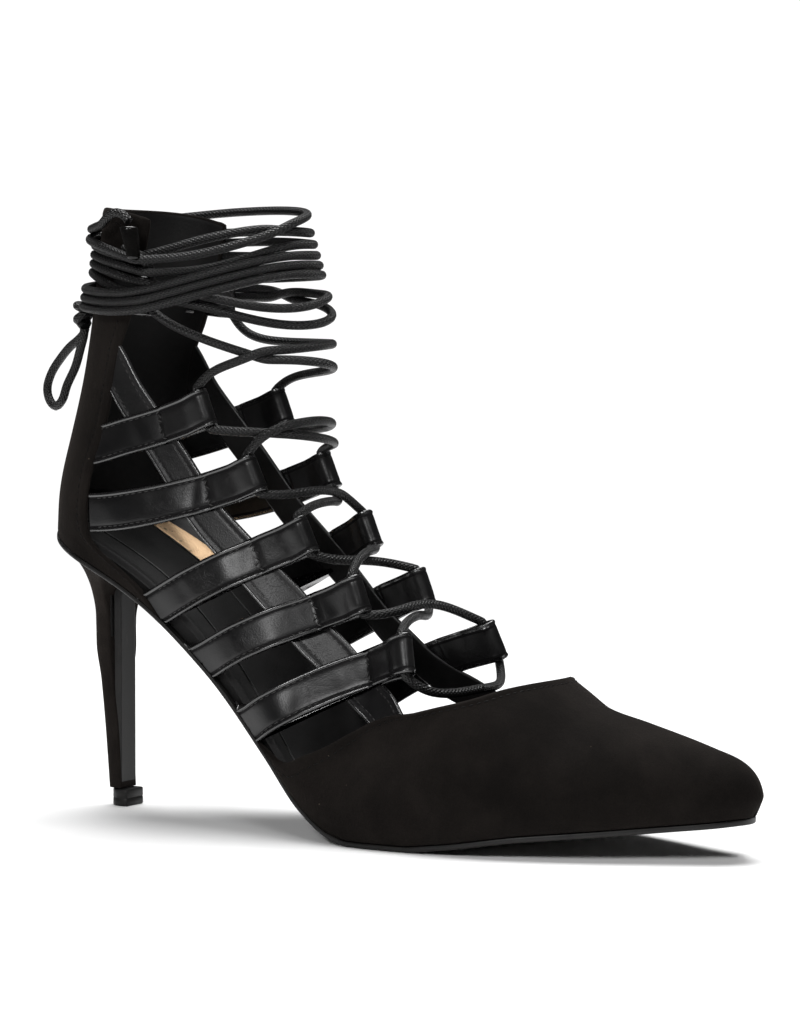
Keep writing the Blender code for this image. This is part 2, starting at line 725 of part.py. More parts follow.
def tube(name, points, radius, sides=LACE_SIDES, closed=False):
    """A round bar along points, or a closed ring of it."""
    points = np.asarray(points, float)
    count = len(points)
    if closed:
        run = np.roll(points, -1, axis=0) - np.roll(points, 1, axis=0)
    else:
        run = np.gradient(points, axis=0)
    up = np.array([0.0, 0.0, 1.0])
    vertices = []
    for centre, way in zip(points, run):
        way = way / np.linalg.norm(way)
        across = np.cross(way, up)
        if np.linalg.norm(across) < 0.2:
            across = np.cross(way, (1.0, 0.0, 0.0))
        across /= np.linalg.norm(across)
        lift = np.cross(across, way)
        for k in range(sides):
            a = 2 * math.pi * k / sides
            vertices.append(centre + radius * (across * math.cos(a) + lift * math.sin(a)))
    faces = []
    for i in range(count if closed else count - 1):
        n = (i + 1) % count
        for j in range(sides):
            k = (j + 1) % sides
            faces.append((i * sides + j, i * sides + k, n * sides + k, n * sides + j))
    if not closed:
        faces.append(tuple(range(sides)))
        faces.append(tuple((count - 1) * sides + j for j in range(sides)))
    return new_object(name, vertices, faces)


def mirrored(points):
    return [(x, -y, z) for x, y, z in points]


def make_crossing(points):
    """Two runs of the lace that cross in front of the foot, joined where they touch."""
    first = tube("run", route(points, 2.2 * LACE), LACE / 2)
    second = tube("run", route(mirrored(points), 2.2 * LACE), LACE / 2)
    return cut_or_join(first, second, "UNION")


def wrap_ring(turn):
    """One turn of the lace round the counter, as a flat ring that tilts and dips."""
    level = turn / (LACE_TURNS - 1)
    back_z = COLLAR_HEIGHT - WRAP_BACK_BELOW + WRAP_BACK_RISE * level
    front_z = COLLAR_HEIGHT - WRAP_FRONT_BELOW + WRAP_FRONT_RISE * level
    clear = SUEDE_WALL + GAP + LACE / 2 + WRAP_SLACK
    side = ANKLE_WIDTH / 2 + clear + (0.0 if level > 0.5 else LACE)
    back = float(back_x(back_z)) - clear
    middle = float(back_x(back_z)) + SEAT_RADIUS
    front = WRAP_FRONT_FAR + (WRAP_FRONT_NEAR - WRAP_FRONT_FAR) * level
    dip = WRAP_DIP * (-1.0) ** turn
    points = []
    for k in range(WRAP_STEPS):
        a = 2 * math.pi * k / WRAP_STEPS
        reach = (front - middle) if math.cos(a) > 0 else (middle - back)
        x = middle + reach * math.cos(a)
        y = side * math.sin(a)
        z = 0.5 * (back_z + front_z) + 0.5 * (front_z - back_z) * math.cos(a) - dip * math.sin(a)
        points.append((x, y, z))
    return tube("ring", points, LACE / 2, closed=True)


def make_wraps():
    wraps = wrap_ring(0)
    for turn in range(1, LACE_TURNS):
        wraps = cut_or_join(wraps, wrap_ring(turn), "UNION")
    return wraps


def with_collar(points):
    """Points of the hanging lace, moved with the collar."""
    rise = COLLAR_HEIGHT - CORD_COLLAR
    return [(x, y, z + rise) for x, y, z in points]


def make_cord(name, points):
    """A free stretch of the lace, as a round cord with closed ends."""
    curve = bpy.data.curves.new(name, "CURVE")
    curve.dimensions = "3D"
    curve.bevel_depth = LACE / 2 * MM
    curve.bevel_resolution = 2
    curve.use_fill_caps = True
    marks = route(with_collar(points), 2.0 * LACE)
    spline = curve.splines.new("POLY")
    spline.points.add(len(marks) - 1)
    for point, mark in zip(spline.points, marks):
        point.co = (*(float(c) * MM for c in mark), 1.0)
    obj = bpy.data.objects.new(name, curve)
    bpy.context.scene.collection.objects.link(obj)
    return obj


def make_tip():
    """The glossy tip on the lace's end: a tapered sleeve that hangs straight down."""
    top = np.array(with_collar(FREE_END)[-1]) - (0.0, 0.0, LACE / 2 + GAP)
    rings = []
    for drop, wide in ((0.0, TIP_TOP), (TIP_LENGTH * 0.5, 0.5 * (TIP_TOP + TIP_END)), (TIP_LENGTH, TIP_END)):
        ring = []
        for k in range(12):
            a = 2 * math.pi * k / 12
            x = top[0] + drop * TIP_LEAN + wide / 2 * math.cos(a)
            ring.append((x, top[1] + wide / 2 * math.sin(a), top[2] - drop))
        rings.append(ring)
    return loft("tip", rings)


def make_knot():
    """The knot at the back of the wraps: a rounded lump, flat against them."""
    out = np.array([-math.cos(math.radians(31.0)), -math.sin(math.radians(31.0)), 0.0])
    beside = np.array([out[1], -out[0], 0.0])
    up = np.array([0.0, 0.0, 1.0])
    middle = np.array(with_collar([KNOT_PLACE])[0])
    rings = []
    for k in range(1, 6):
        a = math.pi * k / 6
        wide = KNOT * math.sin(a)
        ring = []
        for j in range(12):
            b = 2 * math.pi * j / 12
            flat = out * (KNOT_DEPTH * wide * math.cos(b)) + beside * (0.5 * wide * math.sin(b))
            ring.append(middle + flat - up * (KNOT_RISE * KNOT * math.cos(a)))
        rings.append(ring)
    return loft("knot", rings)


def clear_scene():
    for obj in list(bpy.data.objects):
        bpy.data.objects.remove(obj)


def main():
    clear_scene()
    black = (0.012, 0.011, 0.011)
    finish(make_outsole(), "outsole", black, 0.55)
    finish(make_insole(), "insole", (0.015, 0.015, 0.016), 0.5)
    finish(make_heel(), "heel", (0.012, 0.010, 0.010), 0.9)
    finish(make_heel_lift(), "heel_lift", black, 0.6)
    finish(make_upper(), "upper", (0.014, 0.011, 0.010), 0.85)
    for name, points in CROSSINGS.items():
        finish(make_crossing(points), name, black, 0.45)
    finish(tube("bar", route(LOW_BAR, 2.2 * LACE), LACE / 2), "lace_bar", black, 0.45)
    finish(make_wraps(), "lace_wraps", black, 0.45)
    finish(make_cord("lace_loop", HANGING_LOOP), "lace_loop", black, 0.45)
    finish(make_cord("lace_end", FREE_END), "lace_end", black, 0.45)
    finish(make_knot(), "lace_knot", black, 0.45)
    finish(make_tip(), "lace_tip", (0.01, 0.01, 0.01), 0.2)


main()
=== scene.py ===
# Lace-up stiletto, right shoe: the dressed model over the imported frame.
# Shapes are worked out in millimetres in the frame's own axes, then made in metres.
import math

import bpy
import bmesh
import numpy as np
from mathutils import Matrix, Vector


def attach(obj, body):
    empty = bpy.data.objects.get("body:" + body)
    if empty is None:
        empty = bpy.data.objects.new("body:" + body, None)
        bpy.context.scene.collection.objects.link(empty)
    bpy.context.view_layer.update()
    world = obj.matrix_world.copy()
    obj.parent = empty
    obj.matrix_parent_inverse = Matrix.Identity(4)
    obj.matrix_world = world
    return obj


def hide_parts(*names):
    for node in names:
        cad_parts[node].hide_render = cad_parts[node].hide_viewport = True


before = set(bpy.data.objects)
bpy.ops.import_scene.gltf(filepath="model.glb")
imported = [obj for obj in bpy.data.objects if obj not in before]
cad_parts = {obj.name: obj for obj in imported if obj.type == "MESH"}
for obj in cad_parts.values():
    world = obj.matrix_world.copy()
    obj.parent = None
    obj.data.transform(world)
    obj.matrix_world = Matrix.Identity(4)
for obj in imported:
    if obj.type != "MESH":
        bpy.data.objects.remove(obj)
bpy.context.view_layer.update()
print("frame loaded")

mm = 0.001
outerSide, innerSide = -1.0, 1.0

# camera: the photo's angle to the shoe
camera = {"turn": 31.0, "drop": 2.68, "place": (0.5907, -0.8117, 0.1427), "lens": 111.06}
turn, drop = math.radians(camera["turn"]), math.radians(camera["drop"])
rightWay = Vector((math.cos(turn), math.sin(turn), 0.0))
backWay = Vector((math.sin(turn) * math.cos(drop), -math.cos(turn) * math.cos(drop), math.sin(drop)))
upWay = backWay.cross(rightWay)
cameraData = bpy.data.cameras.new("camera")
cameraData.sensor_fit = "VERTICAL"
cameraData.sensor_height = 36.0
cameraData.lens = camera["lens"]
cameraObject = bpy.data.objects.new("camera", cameraData)
bpy.context.scene.collection.objects.link(cameraObject)
facing = Matrix((rightWay, upWay, backWay)).transposed()
cameraObject.matrix_world = Matrix.Translation(camera["place"]) @ facing.to_4x4()
bpy.context.scene.camera = cameraObject

# the last's own sizes, as in the part's source
last = {"length": 237.5, "seatBack": 18.5, "ballWidth": 76.0, "seatRadius": 22.0, "toeRadius": 11.0, "instep": 79.0,
        "ankle": 40.0, "throat": 40.0, "lean": 17.3, "collar": 190.0, "collarDrop": 4.5, "heel": 87.5, "spring": 10.5,
        "toeNose": 3.0, "nose": 6.0, "outsole": 1.7, "insole": 2.6, "insoleSeat": 5.6, "suede": 1.6, "gap": 0.3}
seatZ = last["heel"] + last["outsole"] + last["gap"]


def columns(names, *rows):
    return {name: np.array([row[i] for row in rows], float) for i, name in enumerate(names.split())}


underRows = columns("along seat toe", (0, 1, 0), (0.08, 0.905, 0), (0.185, 0.76, 0), (0.285, 0.55, 0), (0.39, 0.272, 0),
                    (0.45, 0.104, 0), (0.505, 0.016, 0), (0.54, -0.002, 0), (0.6, -0.002, 0), (0.66, 0, 0.12),
                    (0.76, 0, 0.46), (0.865, 0, 0.7), (1, 0, 1))
outlineRows = columns("along outer inner", (0, 0.3, 0.3), (0.1, 0.312, 0.308), (0.2, 0.335, 0.318), (0.3, 0.352, 0.328),
                      (0.4, 0.408, 0.362), (0.5, 0.476, 0.438), (0.57, 0.505, 0.488), (0.63, 0.5, 0.49),
                      (0.7, 0.476, 0.455), (0.78, 0.412, 0.38), (0.86, 0.31, 0.278), (0.93, 0.2, 0.176), (1, 0.105, 0.095))
ridgeRows = columns("along height belly swell", (0, 3.3, 0.14, 0.035), (0.18, 2.9, 0.15, 0.035), (0.27, 2.2, 0.18, 0.035),
                    (0.34, 1.37, 0.21, 0.03), (0.41, 1.08, 0.18, 0.025), (0.48, 1.01, 0.15, 0.02),
                    (0.575, 0.9, 0.1, 0.016), (0.66, 0.725, 0.1, 0.014), (0.75, 0.5, 0.1, 0.012), (0.79, 0.41, 0.1, 0.01),
                    (0.855, 0.34, 0.1, 0.008), (0.92, 0.27, 0.1, 0.006), (0.97, 0.21, 0.1, 0.004), (1, 0.175, 0.1, 0.002))
throatRows = columns("along gap height hold", (0, 1, 1.2, 1), (0.28, 1, 0.86, 1), (0.36, 0.96, 0.82, 1),
                     (0.43, 0.84, 0.8, 1), (0.51, 0.88, 0.74, 1), (0.56, 1.06, 0.66, 0.9), (0.61, 1.3, 0.56, 0.5),
                     (0.68, 1.4, 0.5, 0), (1, 1.4, 0.5, 0))
backRows = columns("up lean", (0, 0), (0.1, 0.07), (0.3, 0.32), (0.5, 0.57), (0.7, 0.77), (1, 1))
counterRows = columns("up forward", (0, 0.215), (0.026, 0.189), (0.039, 0.154), (0.052, 0.118), (0.084, 0.097),
                      (0.13, 0.094), (0.245, 0.098), (0.385, 0.112), (0.5, 0.12), (0.64, 0.132), (0.73, 0.148),
                      (0.9, 0.172), (1, 0.182))
toplineRows = columns("up along", (0, 0.385), (0.06, 0.421), (0.2, 0.464), (0.43, 0.538), (0.57, 0.614), (0.735, 0.68),
                      (0.88, 0.715), (1, 0.742))


def fair(xs, ys, x):  # smooth curve through the rows that never overshoots them
    x = np.asarray(x, float)
    step = np.diff(xs)
    slope = np.diff(ys) / step
    tangent = np.zeros(len(xs))
    tangent[0], tangent[-1] = slope[0], slope[-1]
    for i in range(1, len(xs) - 1):
        if slope[i - 1] * slope[i] > 0:
            first, second = 2 * step[i] + step[i - 1], step[i] + 2 * step[i - 1]
            tangent[i] = (first + second) / (first / slope[i - 1] + second / slope[i])
    held = np.clip(x, xs[0], xs[-1])
    k = np.clip(np.searchsorted(xs, held, side="right") - 1, 0, len(step) - 1)
    t = (held - xs[k]) / step[k]
    return ((2 * t ** 3 - 3 * t ** 2 + 1) * ys[k] + (t ** 3 - 2 * t ** 2 + t) * step[k] * tangent[k]
            + (3 * t ** 2 - 2 * t ** 3) * ys[k + 1] + (t ** 3 - t ** 2) * step[k] * tangent[k + 1])


def ease(t):
    t = np.clip(t, 0.0, 1.0)
    return t * t * (3 - 2 * t)


def place(along):
    return along * last["length"] - last["seatBack"]


def share(x):
    return (np.asarray(x, float) + last["seatBack"]) / last["length"]


def underside(x):
    along = share(x)
    seat = fair(underRows["along"], underRows["seat"], along)
    toe = fair(underRows["along"], underRows["toe"], along)
    return np.maximum(0.0, seat * last["heel"] + toe * last["spring"])


def feather(x):
    return underside(x) + last["outsole"] + last["gap"]


def roundEnd(distance, radius):
    t = np.clip(1.0 - np.asarray(distance, float) / radius, 0.0, 1.0)
    return np.sqrt(np.maximum(0.0, 1.0 - t * t))


def soleHalf(x, side):
    wide = fair(outlineRows["along"], outlineRows["outer" if side < 0 else "inner"], share(x)) * last["ballWidth"]
    return wide * roundEnd(place(1.0) - x, last["toeRadius"]) * roundEnd(x - place(0.0), last["seatRadius"])


def backX(z):
    up = (np.asarray(z, float) - seatZ) / (last["collar"] - seatZ)
    return -last["seatBack"] + last["lean"] * fair(backRows["up"], backRows["lean"], up)


def ridgeHeight(x):
    t = np.clip(1.0 - (place(1.0) - np.asarray(x, float)) / last["toeRadius"], 0.0, 1.0)
    return fair(ridgeRows["along"], ridgeRows["height"], share(x)) * last["instep"] * np.cbrt(np.maximum(0.0, 1.0 - t ** 3))


def lastHalf(x, z, side):
    x, z = np.asarray(x, float), np.asarray(z, float)
    along, foot = share(x), feather(x)
    height = np.maximum(ridgeHeight(x), 0.01)
    belly = fair(ridgeRows["along"], ridgeRows["belly"], along) * height
    rise = np.clip((z - foot) / np.maximum(belly, 0.01), 0.0, 1.0)
    wide = fair(outlineRows["along"], outlineRows["outer" if side < 0 else "inner"], along)
    wide = (wide + fair(ridgeRows["along"], ridgeRows["swell"], along) * np.sin(rise * math.pi / 2)) * last["ballWidth"]
    neck = ease((z - seatZ - 0.06 * (last["collar"] - seatZ)) / (0.55 * (last["collar"] - seatZ)))
    wide = wide + (np.minimum(wide, last["ankle"] / 2) - wide) * neck
    over = np.clip((z - foot - belly) / np.maximum(height - belly, 0.01), 0.0, 1.0)
    rounded = wide * np.sqrt(np.maximum(0.0, 1.0 - over * over))
    gap = np.minimum(fair(throatRows["along"], throatRows["gap"], along) * last["throat"] / 2, wide)
    throat = fair(throatRows["along"], throatRows["height"], along) * last["instep"]
    slack = wide + (gap - wide) * ease((z - foot - 0.1 * throat) / (0.9 * throat))
    wide = rounded + (slack - rounded) * fair(throatRows["along"], throatRows["hold"], along)
    return wide * roundEnd(place(1.0) - x, last["toeRadius"]) * roundEnd(x - backX(z), last["seatRadius"])


def normals(grid):
    normal = np.cross(np.gradient(grid, axis=1), np.gradient(grid, axis=0))
    return normal / np.maximum(np.linalg.norm(normal, axis=-1, keepdims=True), 1e-9)


def sideNormals(grid, side):  # normals of a grid on one side of the foot, always pointing away from it
    normal = normals(grid)
    return normal if normal[..., 1].mean() * side > 0 else -normal


def smoothCurve(points, spacing, looped=False):  # evenly spaced points of a smooth curve through a route
    points = np.asarray(points, float)
    if looped:
        points = np.concatenate([points[-2:], points, points[:3]])
    runs = np.concatenate([[0.0], np.cumsum(np.linalg.norm(np.diff(points, axis=0), axis=1) ** 0.5)])
    slopes = np.gradient(points, runs, axis=0)
    fine = []
    for i in range(len(points) - 1):
        step = runs[i + 1] - runs[i]
        for t in np.linspace(0.0, 1.0, 16, endpoint=False):
            fine.append((2 * t ** 3 - 3 * t ** 2 + 1) * points[i] + (t ** 3 - 2 * t ** 2 + t) * step * slopes[i]
                        + (3 * t ** 2 - 2 * t ** 3) * points[i + 1] + (t ** 3 - t ** 2) * step * slopes[i + 1])
    fine = np.array(fine + [points[-1]])
    length = np.concatenate([[0.0], np.cumsum(np.linalg.norm(np.diff(fine, axis=0), axis=1))])
    marks = np.linspace(0.0, length[-1], max(3, int(round(length[-1] / spacing)) + 1))
    return np.stack([np.interp(marks, length, fine[:, i]) for i in range(3)], axis=1)


# shaders: one socket class, one node method

class Sock:
    def __init__(self, shader, socket):
        self.shader, self.socket = shader, socket

    def maths(self, operation, other=None, flip=False):
        values = [self, other] if other is not None else [self]
        if flip:
            values.reverse()
        return self.shader.node("ShaderNodeMath", {"operation": operation}, dict(enumerate(values)))

    def __add__(self, other):
        return self.maths("ADD", other)

    __radd__ = __add__

    def __sub__(self, other):
        return self.maths("SUBTRACT", other)

    def __rsub__(self, other):
        return self.maths("SUBTRACT", other, True)

    def __mul__(self, other):
        return self.maths("MULTIPLY", other)

    __rmul__ = __mul__

    def __truediv__(self, other):
        return self.maths("DIVIDE", other)

    def __pow__(self, other):
        return self.maths("POWER", other)

    def sine(self):
        return self.maths("SINE")

    def size(self):
        return self.maths("ABSOLUTE")

    def over(self, low, high):  # 0 below low, 1 above high, smooth between
        return self.shader.node("ShaderNodeMapRange", {"interpolation_type": "SMOOTHSTEP"},
                                {0: self, 1: low, 2: high, 3: 0.0, 4: 1.0})

    def under(self, low, high):
        return 1.0 - self.over(low, high)


class Shader:
    def __init__(self, name):
        self.material = bpy.data.materials.new(name)
        self.material.use_nodes = True
        self.tree = self.material.node_tree
        self.surface = self.tree.nodes["Principled BSDF"]

    def node(self, kind, settings=None, sockets=None, output=0):
        made = self.tree.nodes.new(kind)
        for key, value in (settings or {}).items():
            if key == "stops":
                ramp = made.color_ramp
                while len(ramp.elements) < len(value):
                    ramp.elements.new(0.5)
                for element, (position, colour) in zip(ramp.elements, value):
                    element.position, element.color = position, (*colour, 1.0)
            else:
                setattr(made, key, value)
        for key, value in (sockets or {}).items():
            if isinstance(value, Sock):
                self.tree.links.new(value.socket, made.inputs[key])
            else:
                made.inputs[key].default_value = value
        return Sock(self, made.outputs[output])

    def spot(self):  # place on the piece in metres
        return self.node("ShaderNodeTexCoord", output="Object")

    def scaled(self, vector, by):
        return self.node("ShaderNodeVectorMath", {"operation": "MULTIPLY"}, {0: vector, 1: by})

    def noise(self, vector, scale, detail=2.0, roughness=0.5, stretch=0.0):
        return self.node("ShaderNodeTexNoise", {}, {"Vector": vector, "Scale": scale, "Detail": detail,
                                                    "Roughness": roughness, "Distortion": stretch})

    def cells(self, vector, scale, feature="F1", output="Distance"):
        return self.node("ShaderNodeTexVoronoi", {"feature": feature}, {"Vector": vector, "Scale": scale}, output)

    def mix(self, factor, one, two):
        return self.node("ShaderNodeMix", {"data_type": "RGBA"}, {0: factor, 6: one, 7: two}, 2)

    def bump(self, height, distance, strength=1.0):
        self.put("Normal", self.node("ShaderNodeBump", {}, {"Height": height, "Distance": distance, "Strength": strength}))

    def put(self, name, value):
        if isinstance(value, Sock):
            self.tree.links.new(value.socket, self.surface.inputs[name])
        else:
            self.surface.inputs[name].default_value = value


def uvPlace(shader):
    return shader.node("ShaderNodeUVMap", {"uv_map": "lay"})


def part(shader, vector, axis):
    return shader.node("ShaderNodeSeparateXYZ", {}, {0: vector}, axis)


suede = {"dark": (0.0036, 0.0030, 0.0027, 1), "light": (0.0112, 0.0092, 0.0080, 1), "lint": (0.16, 0.13, 0.10, 1),
         "fibre": 2600.0, "cloud": 34.0, "sheen": 0.035}


def suedeFinish(name, lintShare=0.07, tone=1.0):
    s = Shader(name)
    spot = s.spot()
    fibre = s.noise(spot, suede["fibre"], 3.0, 0.7)
    nap = s.noise(s.scaled(spot, (1.0, 1.0, 0.35)), suede["fibre"] * 0.35, 2.0, 0.6)
    cloud = s.noise(spot, suede["cloud"], 4.0, 0.6, 0.4)
    patch = s.noise(spot, suede["cloud"] * 4.0, 3.0, 0.6)
    brushed = (cloud - 0.35) * 1.5 + (patch - 0.5) * 0.5 + (fibre - 0.5) * 0.9
    dark, light = ([c * tone for c in suede[key][:3]] + [1.0] for key in ("dark", "light"))
    colour = s.mix(brushed.over(-0.2, 1.0), dark, light)
    speck = s.cells(spot, 260.0).under(0.02, lintShare) * s.noise(spot, 60.0).over(0.57, 0.64)
    s.put("Base Color", s.mix(speck * 0.6, colour, suede["lint"]))
    s.put("Roughness", 0.95 - (cloud - 0.5) * 0.1)
    s.put("Specular IOR Level", 0.07)
    s.put("Sheen Weight", suede["sheen"])
    s.put("Sheen Roughness", 0.5)
    s.put("Sheen Tint", (0.70, 0.58, 0.52, 1))
    s.bump(fibre * 0.6 + nap * 0.6 + patch * 0.3 + speck * 0.5, 0.00018)
    return s.material


leather = {"dark": (0.0028, 0.0027, 0.0030, 1), "light": (0.0062, 0.0058, 0.0060, 1), "grain": 2300.0, "crease": 150.0,
           "gloss": 0.33}


def leatherFinish(name, gloss=None, grain=1.0, shine=0.34):
    s = Shader(name)
    spot = s.spot()
    gloss = leather["gloss"] if gloss is None else gloss
    pore = s.cells(spot, leather["grain"])
    fine = s.noise(spot, leather["grain"] * 0.55, 2.0, 0.6)
    fold = s.noise(s.scaled(spot, (1.0, 1.0, 1.7)), leather["crease"], 4.0, 0.6, 1.2)
    crease = (fold - 0.5).size().under(0.0, 0.03) * s.noise(spot, 75.0).over(0.5, 0.62)
    cloud = s.noise(spot, 80.0, 3.0, 0.5)
    s.put("Base Color", s.mix(cloud.over(0.3, 0.75), leather["dark"], leather["light"]))
    s.put("Roughness", gloss + (cloud - 0.5) * 0.16 + (pore - 0.4) * 0.08 + crease * 0.08)
    s.put("Specular IOR Level", shine)
    s.bump((pore * 0.30 + fine * 0.25) * grain + fold * 0.8 - crease * 0.22, 0.00006)
    return s.material


def liningFinish(name):
    s = Shader(name)
    spot = s.spot()
    grain = s.cells(spot, 1300.0)
    cloud = s.noise(spot, 90.0, 3.0)
    s.put("Base Color", s.mix(cloud.over(0.3, 0.7), (0.0030, 0.0028, 0.0029, 1), (0.0060, 0.0056, 0.0056, 1)))
    s.put("Roughness", 0.60 + (cloud - 0.5) * 0.2)
    s.put("Specular IOR Level", 0.20)
    s.bump(grain * 0.5 + cloud * 0.4, 0.00008)
    return s.material


def laceFinish(name):  # waxed braid: strands cross round the cord, read from the tube's own lay
    s = Shader(name)
    lay = uvPlace(s)
    around, along = part(s, lay, 0), part(s, lay, 1)
    one = (around * (8 * 2 * math.pi) + along * 4300.0).sine()
    two = (around * (8 * 2 * math.pi) - along * 4300.0).sine()
    weave = one.maths("MAXIMUM", two)
    wax = s.noise(s.spot(), 520.0, 3.0)
    # colour follows the braid's relief: painted shade in the grooves between strands and painted highlight on the
    # strand crowns
    s.put("Base Color", s.mix(weave.over(-0.2, 0.9), (0.0013, 0.0013, 0.0014, 1), (0.0044, 0.0041, 0.0042, 1)))
    s.put("Roughness", 0.42 + (wax - 0.5) * 0.5 - weave * 0.05)
    s.put("Specular IOR Level", 0.36)
    s.bump(weave * 0.7 + wax * 0.3, 0.00020)
    return s.material


def threadFinish(name, tone=1.0, shine=0.5):
    s = Shader(name)
    lay = s.spot()
    fray = s.noise(lay, 3000.0)
    s.put("Base Color", s.mix(fray.over(0.4, 0.7), (0.005 * tone, 0.005 * tone, 0.005 * tone, 1),
                            (0.022 * tone, 0.020 * tone, 0.019 * tone, 1)))
    s.put("Roughness", 0.5)
    s.put("Specular IOR Level", shine)
    s.bump(fray, 0.00006)
    return s.material


def rubberFinish(name, gloss, tone=1.0, scuffs=0.0):
    s = Shader(name)
    spot = s.spot()
    cloud = s.noise(spot, 120.0, 4.0, 0.6)
    scratch = s.noise(s.scaled(spot, (1.0, 1.0, 0.12)), 900.0, 2.0, 0.6).over(0.62, 0.7) * s.noise(spot, 45.0).over(0.5, 0.7)
    colour = s.mix(cloud.over(0.3, 0.7), (0.0030 * tone, 0.0028 * tone, 0.0027 * tone, 1),
                   (0.0070 * tone, 0.0064 * tone, 0.0060 * tone, 1))
    s.put("Base Color", s.mix(scratch * scuffs, colour, (0.16, 0.14, 0.12, 1)))
    s.put("Roughness", gloss + (cloud - 0.5) * 0.2 + scratch * 0.2)
    s.put("Specular IOR Level", 0.3)
    s.bump(cloud * 0.6 + s.noise(spot, 1500.0) * 0.4, 0.00006)
    return s.material


def foilFinish(name):
    s = Shader(name)
    spot = s.spot()
    rub = s.noise(spot, 260.0, 4.0, 0.65)
    wear = rub.over(0.60, 0.72)
    s.put("Base Color", s.mix(wear, (0.80, 0.56, 0.34, 1), (0.10, 0.07, 0.05, 1)))
    s.put("Metallic", 1.0 - wear * 0.8)
    s.put("Roughness", 0.30 + rub * 0.25)
    s.bump(rub + s.noise(spot, 1800.0) * 0.4, 0.00008)
    return s.material


suedeLook = suedeFinish("suede", 0.07, 1.12)
# the heel block's suede colour is lifted to 2.2 times the base suede, against 1.12 elsewhere: painted light on the heel
paintedLightHeelSuedeLook = suedeFinish("paintedLightHeelSuede", 0.04, 2.2)
strapLook = leatherFinish("strapLeather")
strapEdgeLook = leatherFinish("strapEdge", 0.24, 0.4, 1.0)
channelLook = leatherFinish("sewnChannel", 0.6, 1.0, 0.10)
slantLook = leatherFinish("slantLeather", 0.37, 1.6)
liningLook = liningFinish("lining")
laceLook = laceFinish("waxedLace")
threadLook = threadFinish("thread")
suedeThreadLook = threadFinish("suedeThread", 0.2, 0.12)
soleLook = rubberFinish("soleRubber", 0.42)
liftLook = rubberFinish("liftRubber", 0.5, 0.8)
breastLook = rubberFinish("breastCover", 0.45, 1.2, 0.35)
foilLook = foilFinish("foil")
print("finishes made")


def makePiece(name, vertices, faces, looks, faceLooks=None, lay=None, smooth=55.0):
    mesh = bpy.data.meshes.new(name)
    vertices = np.asarray(vertices, float) * mm
    mesh.from_pydata(vertices.tolist(), [], [tuple(int(v) for v in face) for face in faces])
    for look in looks:
        mesh.materials.append(look)
    if faceLooks is not None:
        mesh.polygons.foreach_set("material_index", np.asarray(faceLooks, dtype=np.int32))
    if lay is not None:
        layer = mesh.uv_layers.new(name="lay")
        layer.data.foreach_set("uv", np.asarray(lay, dtype=np.float32).ravel())
    mesh.validate()
    solid = bmesh.new()
    solid.from_mesh(mesh)
    bmesh.ops.recalc_face_normals(solid, faces=solid.faces)
    solid.to_mesh(mesh)
    solid.free()
    mesh.update()
    mesh.shade_smooth()
    mesh.set_sharp_from_angle(angle=math.radians(smooth))
    piece = bpy.data.objects.new(name, mesh)
    bpy.context.scene.collection.objects.link(piece)
    return piece


def shell(name, grid, thick, sign, looks, rim=4, low=0.0):  # closed wall over a grid, its rims rounded
    rows, cols = grid.shape[:2]
    normal = normals(grid) * sign
    thick = np.broadcast_to(thick, (rows, cols))
    outer = grid + normal * (low + thick)[..., None]
    inner = grid + normal * low
    outer[..., 2] = np.maximum(outer[..., 2], feather(outer[..., 0]))
    index = np.arange(rows * cols).reshape(rows, cols)
    vertices = [outer.reshape(-1, 3), inner.reshape(-1, 3)]
    count = rows * cols
    quads = np.stack([index[:-1, :-1], index[:-1, 1:], index[1:, 1:], index[1:, :-1]], axis=-1).reshape(-1, 4)
    if sign > 0:
        quads = quads[:, ::-1]
    faces = [tuple(q) for q in quads] + [tuple(q[::-1] + count) for q in quads]
    faceLooks = [0] * len(quads) + [1] * len(quads)
    edge = [(0, j, 1, 0) for j in range(cols)] + [(i, cols - 1, 0, -1) for i in range(1, rows)]
    edge += [(rows - 1, j, -1, 0) for j in range(cols - 2, -1, -1)] + [(i, 0, 0, 1) for i in range(rows - 2, 0, -1)]
    base = 2 * count
    rings = []
    for k in range(1, rim):
        angle = math.pi / 2 - math.pi * k / rim
        ring = []
        for i, j, di, dj in edge:
            inward = grid[i + di, j + dj] - grid[i, j]
            if (i in (0, rows - 1)) and (j in (0, cols - 1)):
                inward = (grid[i + (1 if i == 0 else -1), j] - grid[i, j]) + (grid[i, j + (1 if j == 0 else -1)] - grid[i, j])
            away = -inward / max(np.linalg.norm(inward), 1e-9)
            middle = 0.5 * (outer[i, j] + inner[i, j])
            reach = 0.5 * thick[i, j]
            spot = middle + (away * math.cos(angle) + normal[i, j] * math.sin(angle)) * reach
            spot[2] = max(spot[2], float(feather(spot[0])) - 0.05)
            ring.append(spot)
        vertices.append(np.array(ring))
        rings.append([base + (k - 1) * len(edge) + m for m in range(len(edge))])
    outerRing = [index[i, j] for i, j, _, _ in edge]
    innerRing = [index[i, j] + count for i, j, _, _ in edge]
    loops = [outerRing] + rings + [innerRing]
    for one, two in zip(loops, loops[1:]):
        for m in range(len(edge)):
            n = (m + 1) % len(edge)
            quad = (one[m], two[m], two[n], one[n])
            faces.append(quad if sign < 0 else quad[::-1])
            faceLooks.append(0)
    return makePiece(name, np.concatenate(vertices), faces, looks, faceLooks), outer, normal


def closedLoft(name, rings, looks, smooth=55.0):
    rings = np.asarray(rings, float)
    count, size = rings.shape[:2]
    faces = []
    for i in range(count - 1):
        for j in range(size):
            k = (j + 1) % size
            faces.append((i * size + j, i * size + k, (i + 1) * size + k, (i + 1) * size + j))
    faces.append(tuple(range(size))[::-1])
    faces.append(tuple((count - 1) * size + j for j in range(size)))
    return makePiece(name, rings.reshape(-1, 3), faces, looks, smooth=smooth)


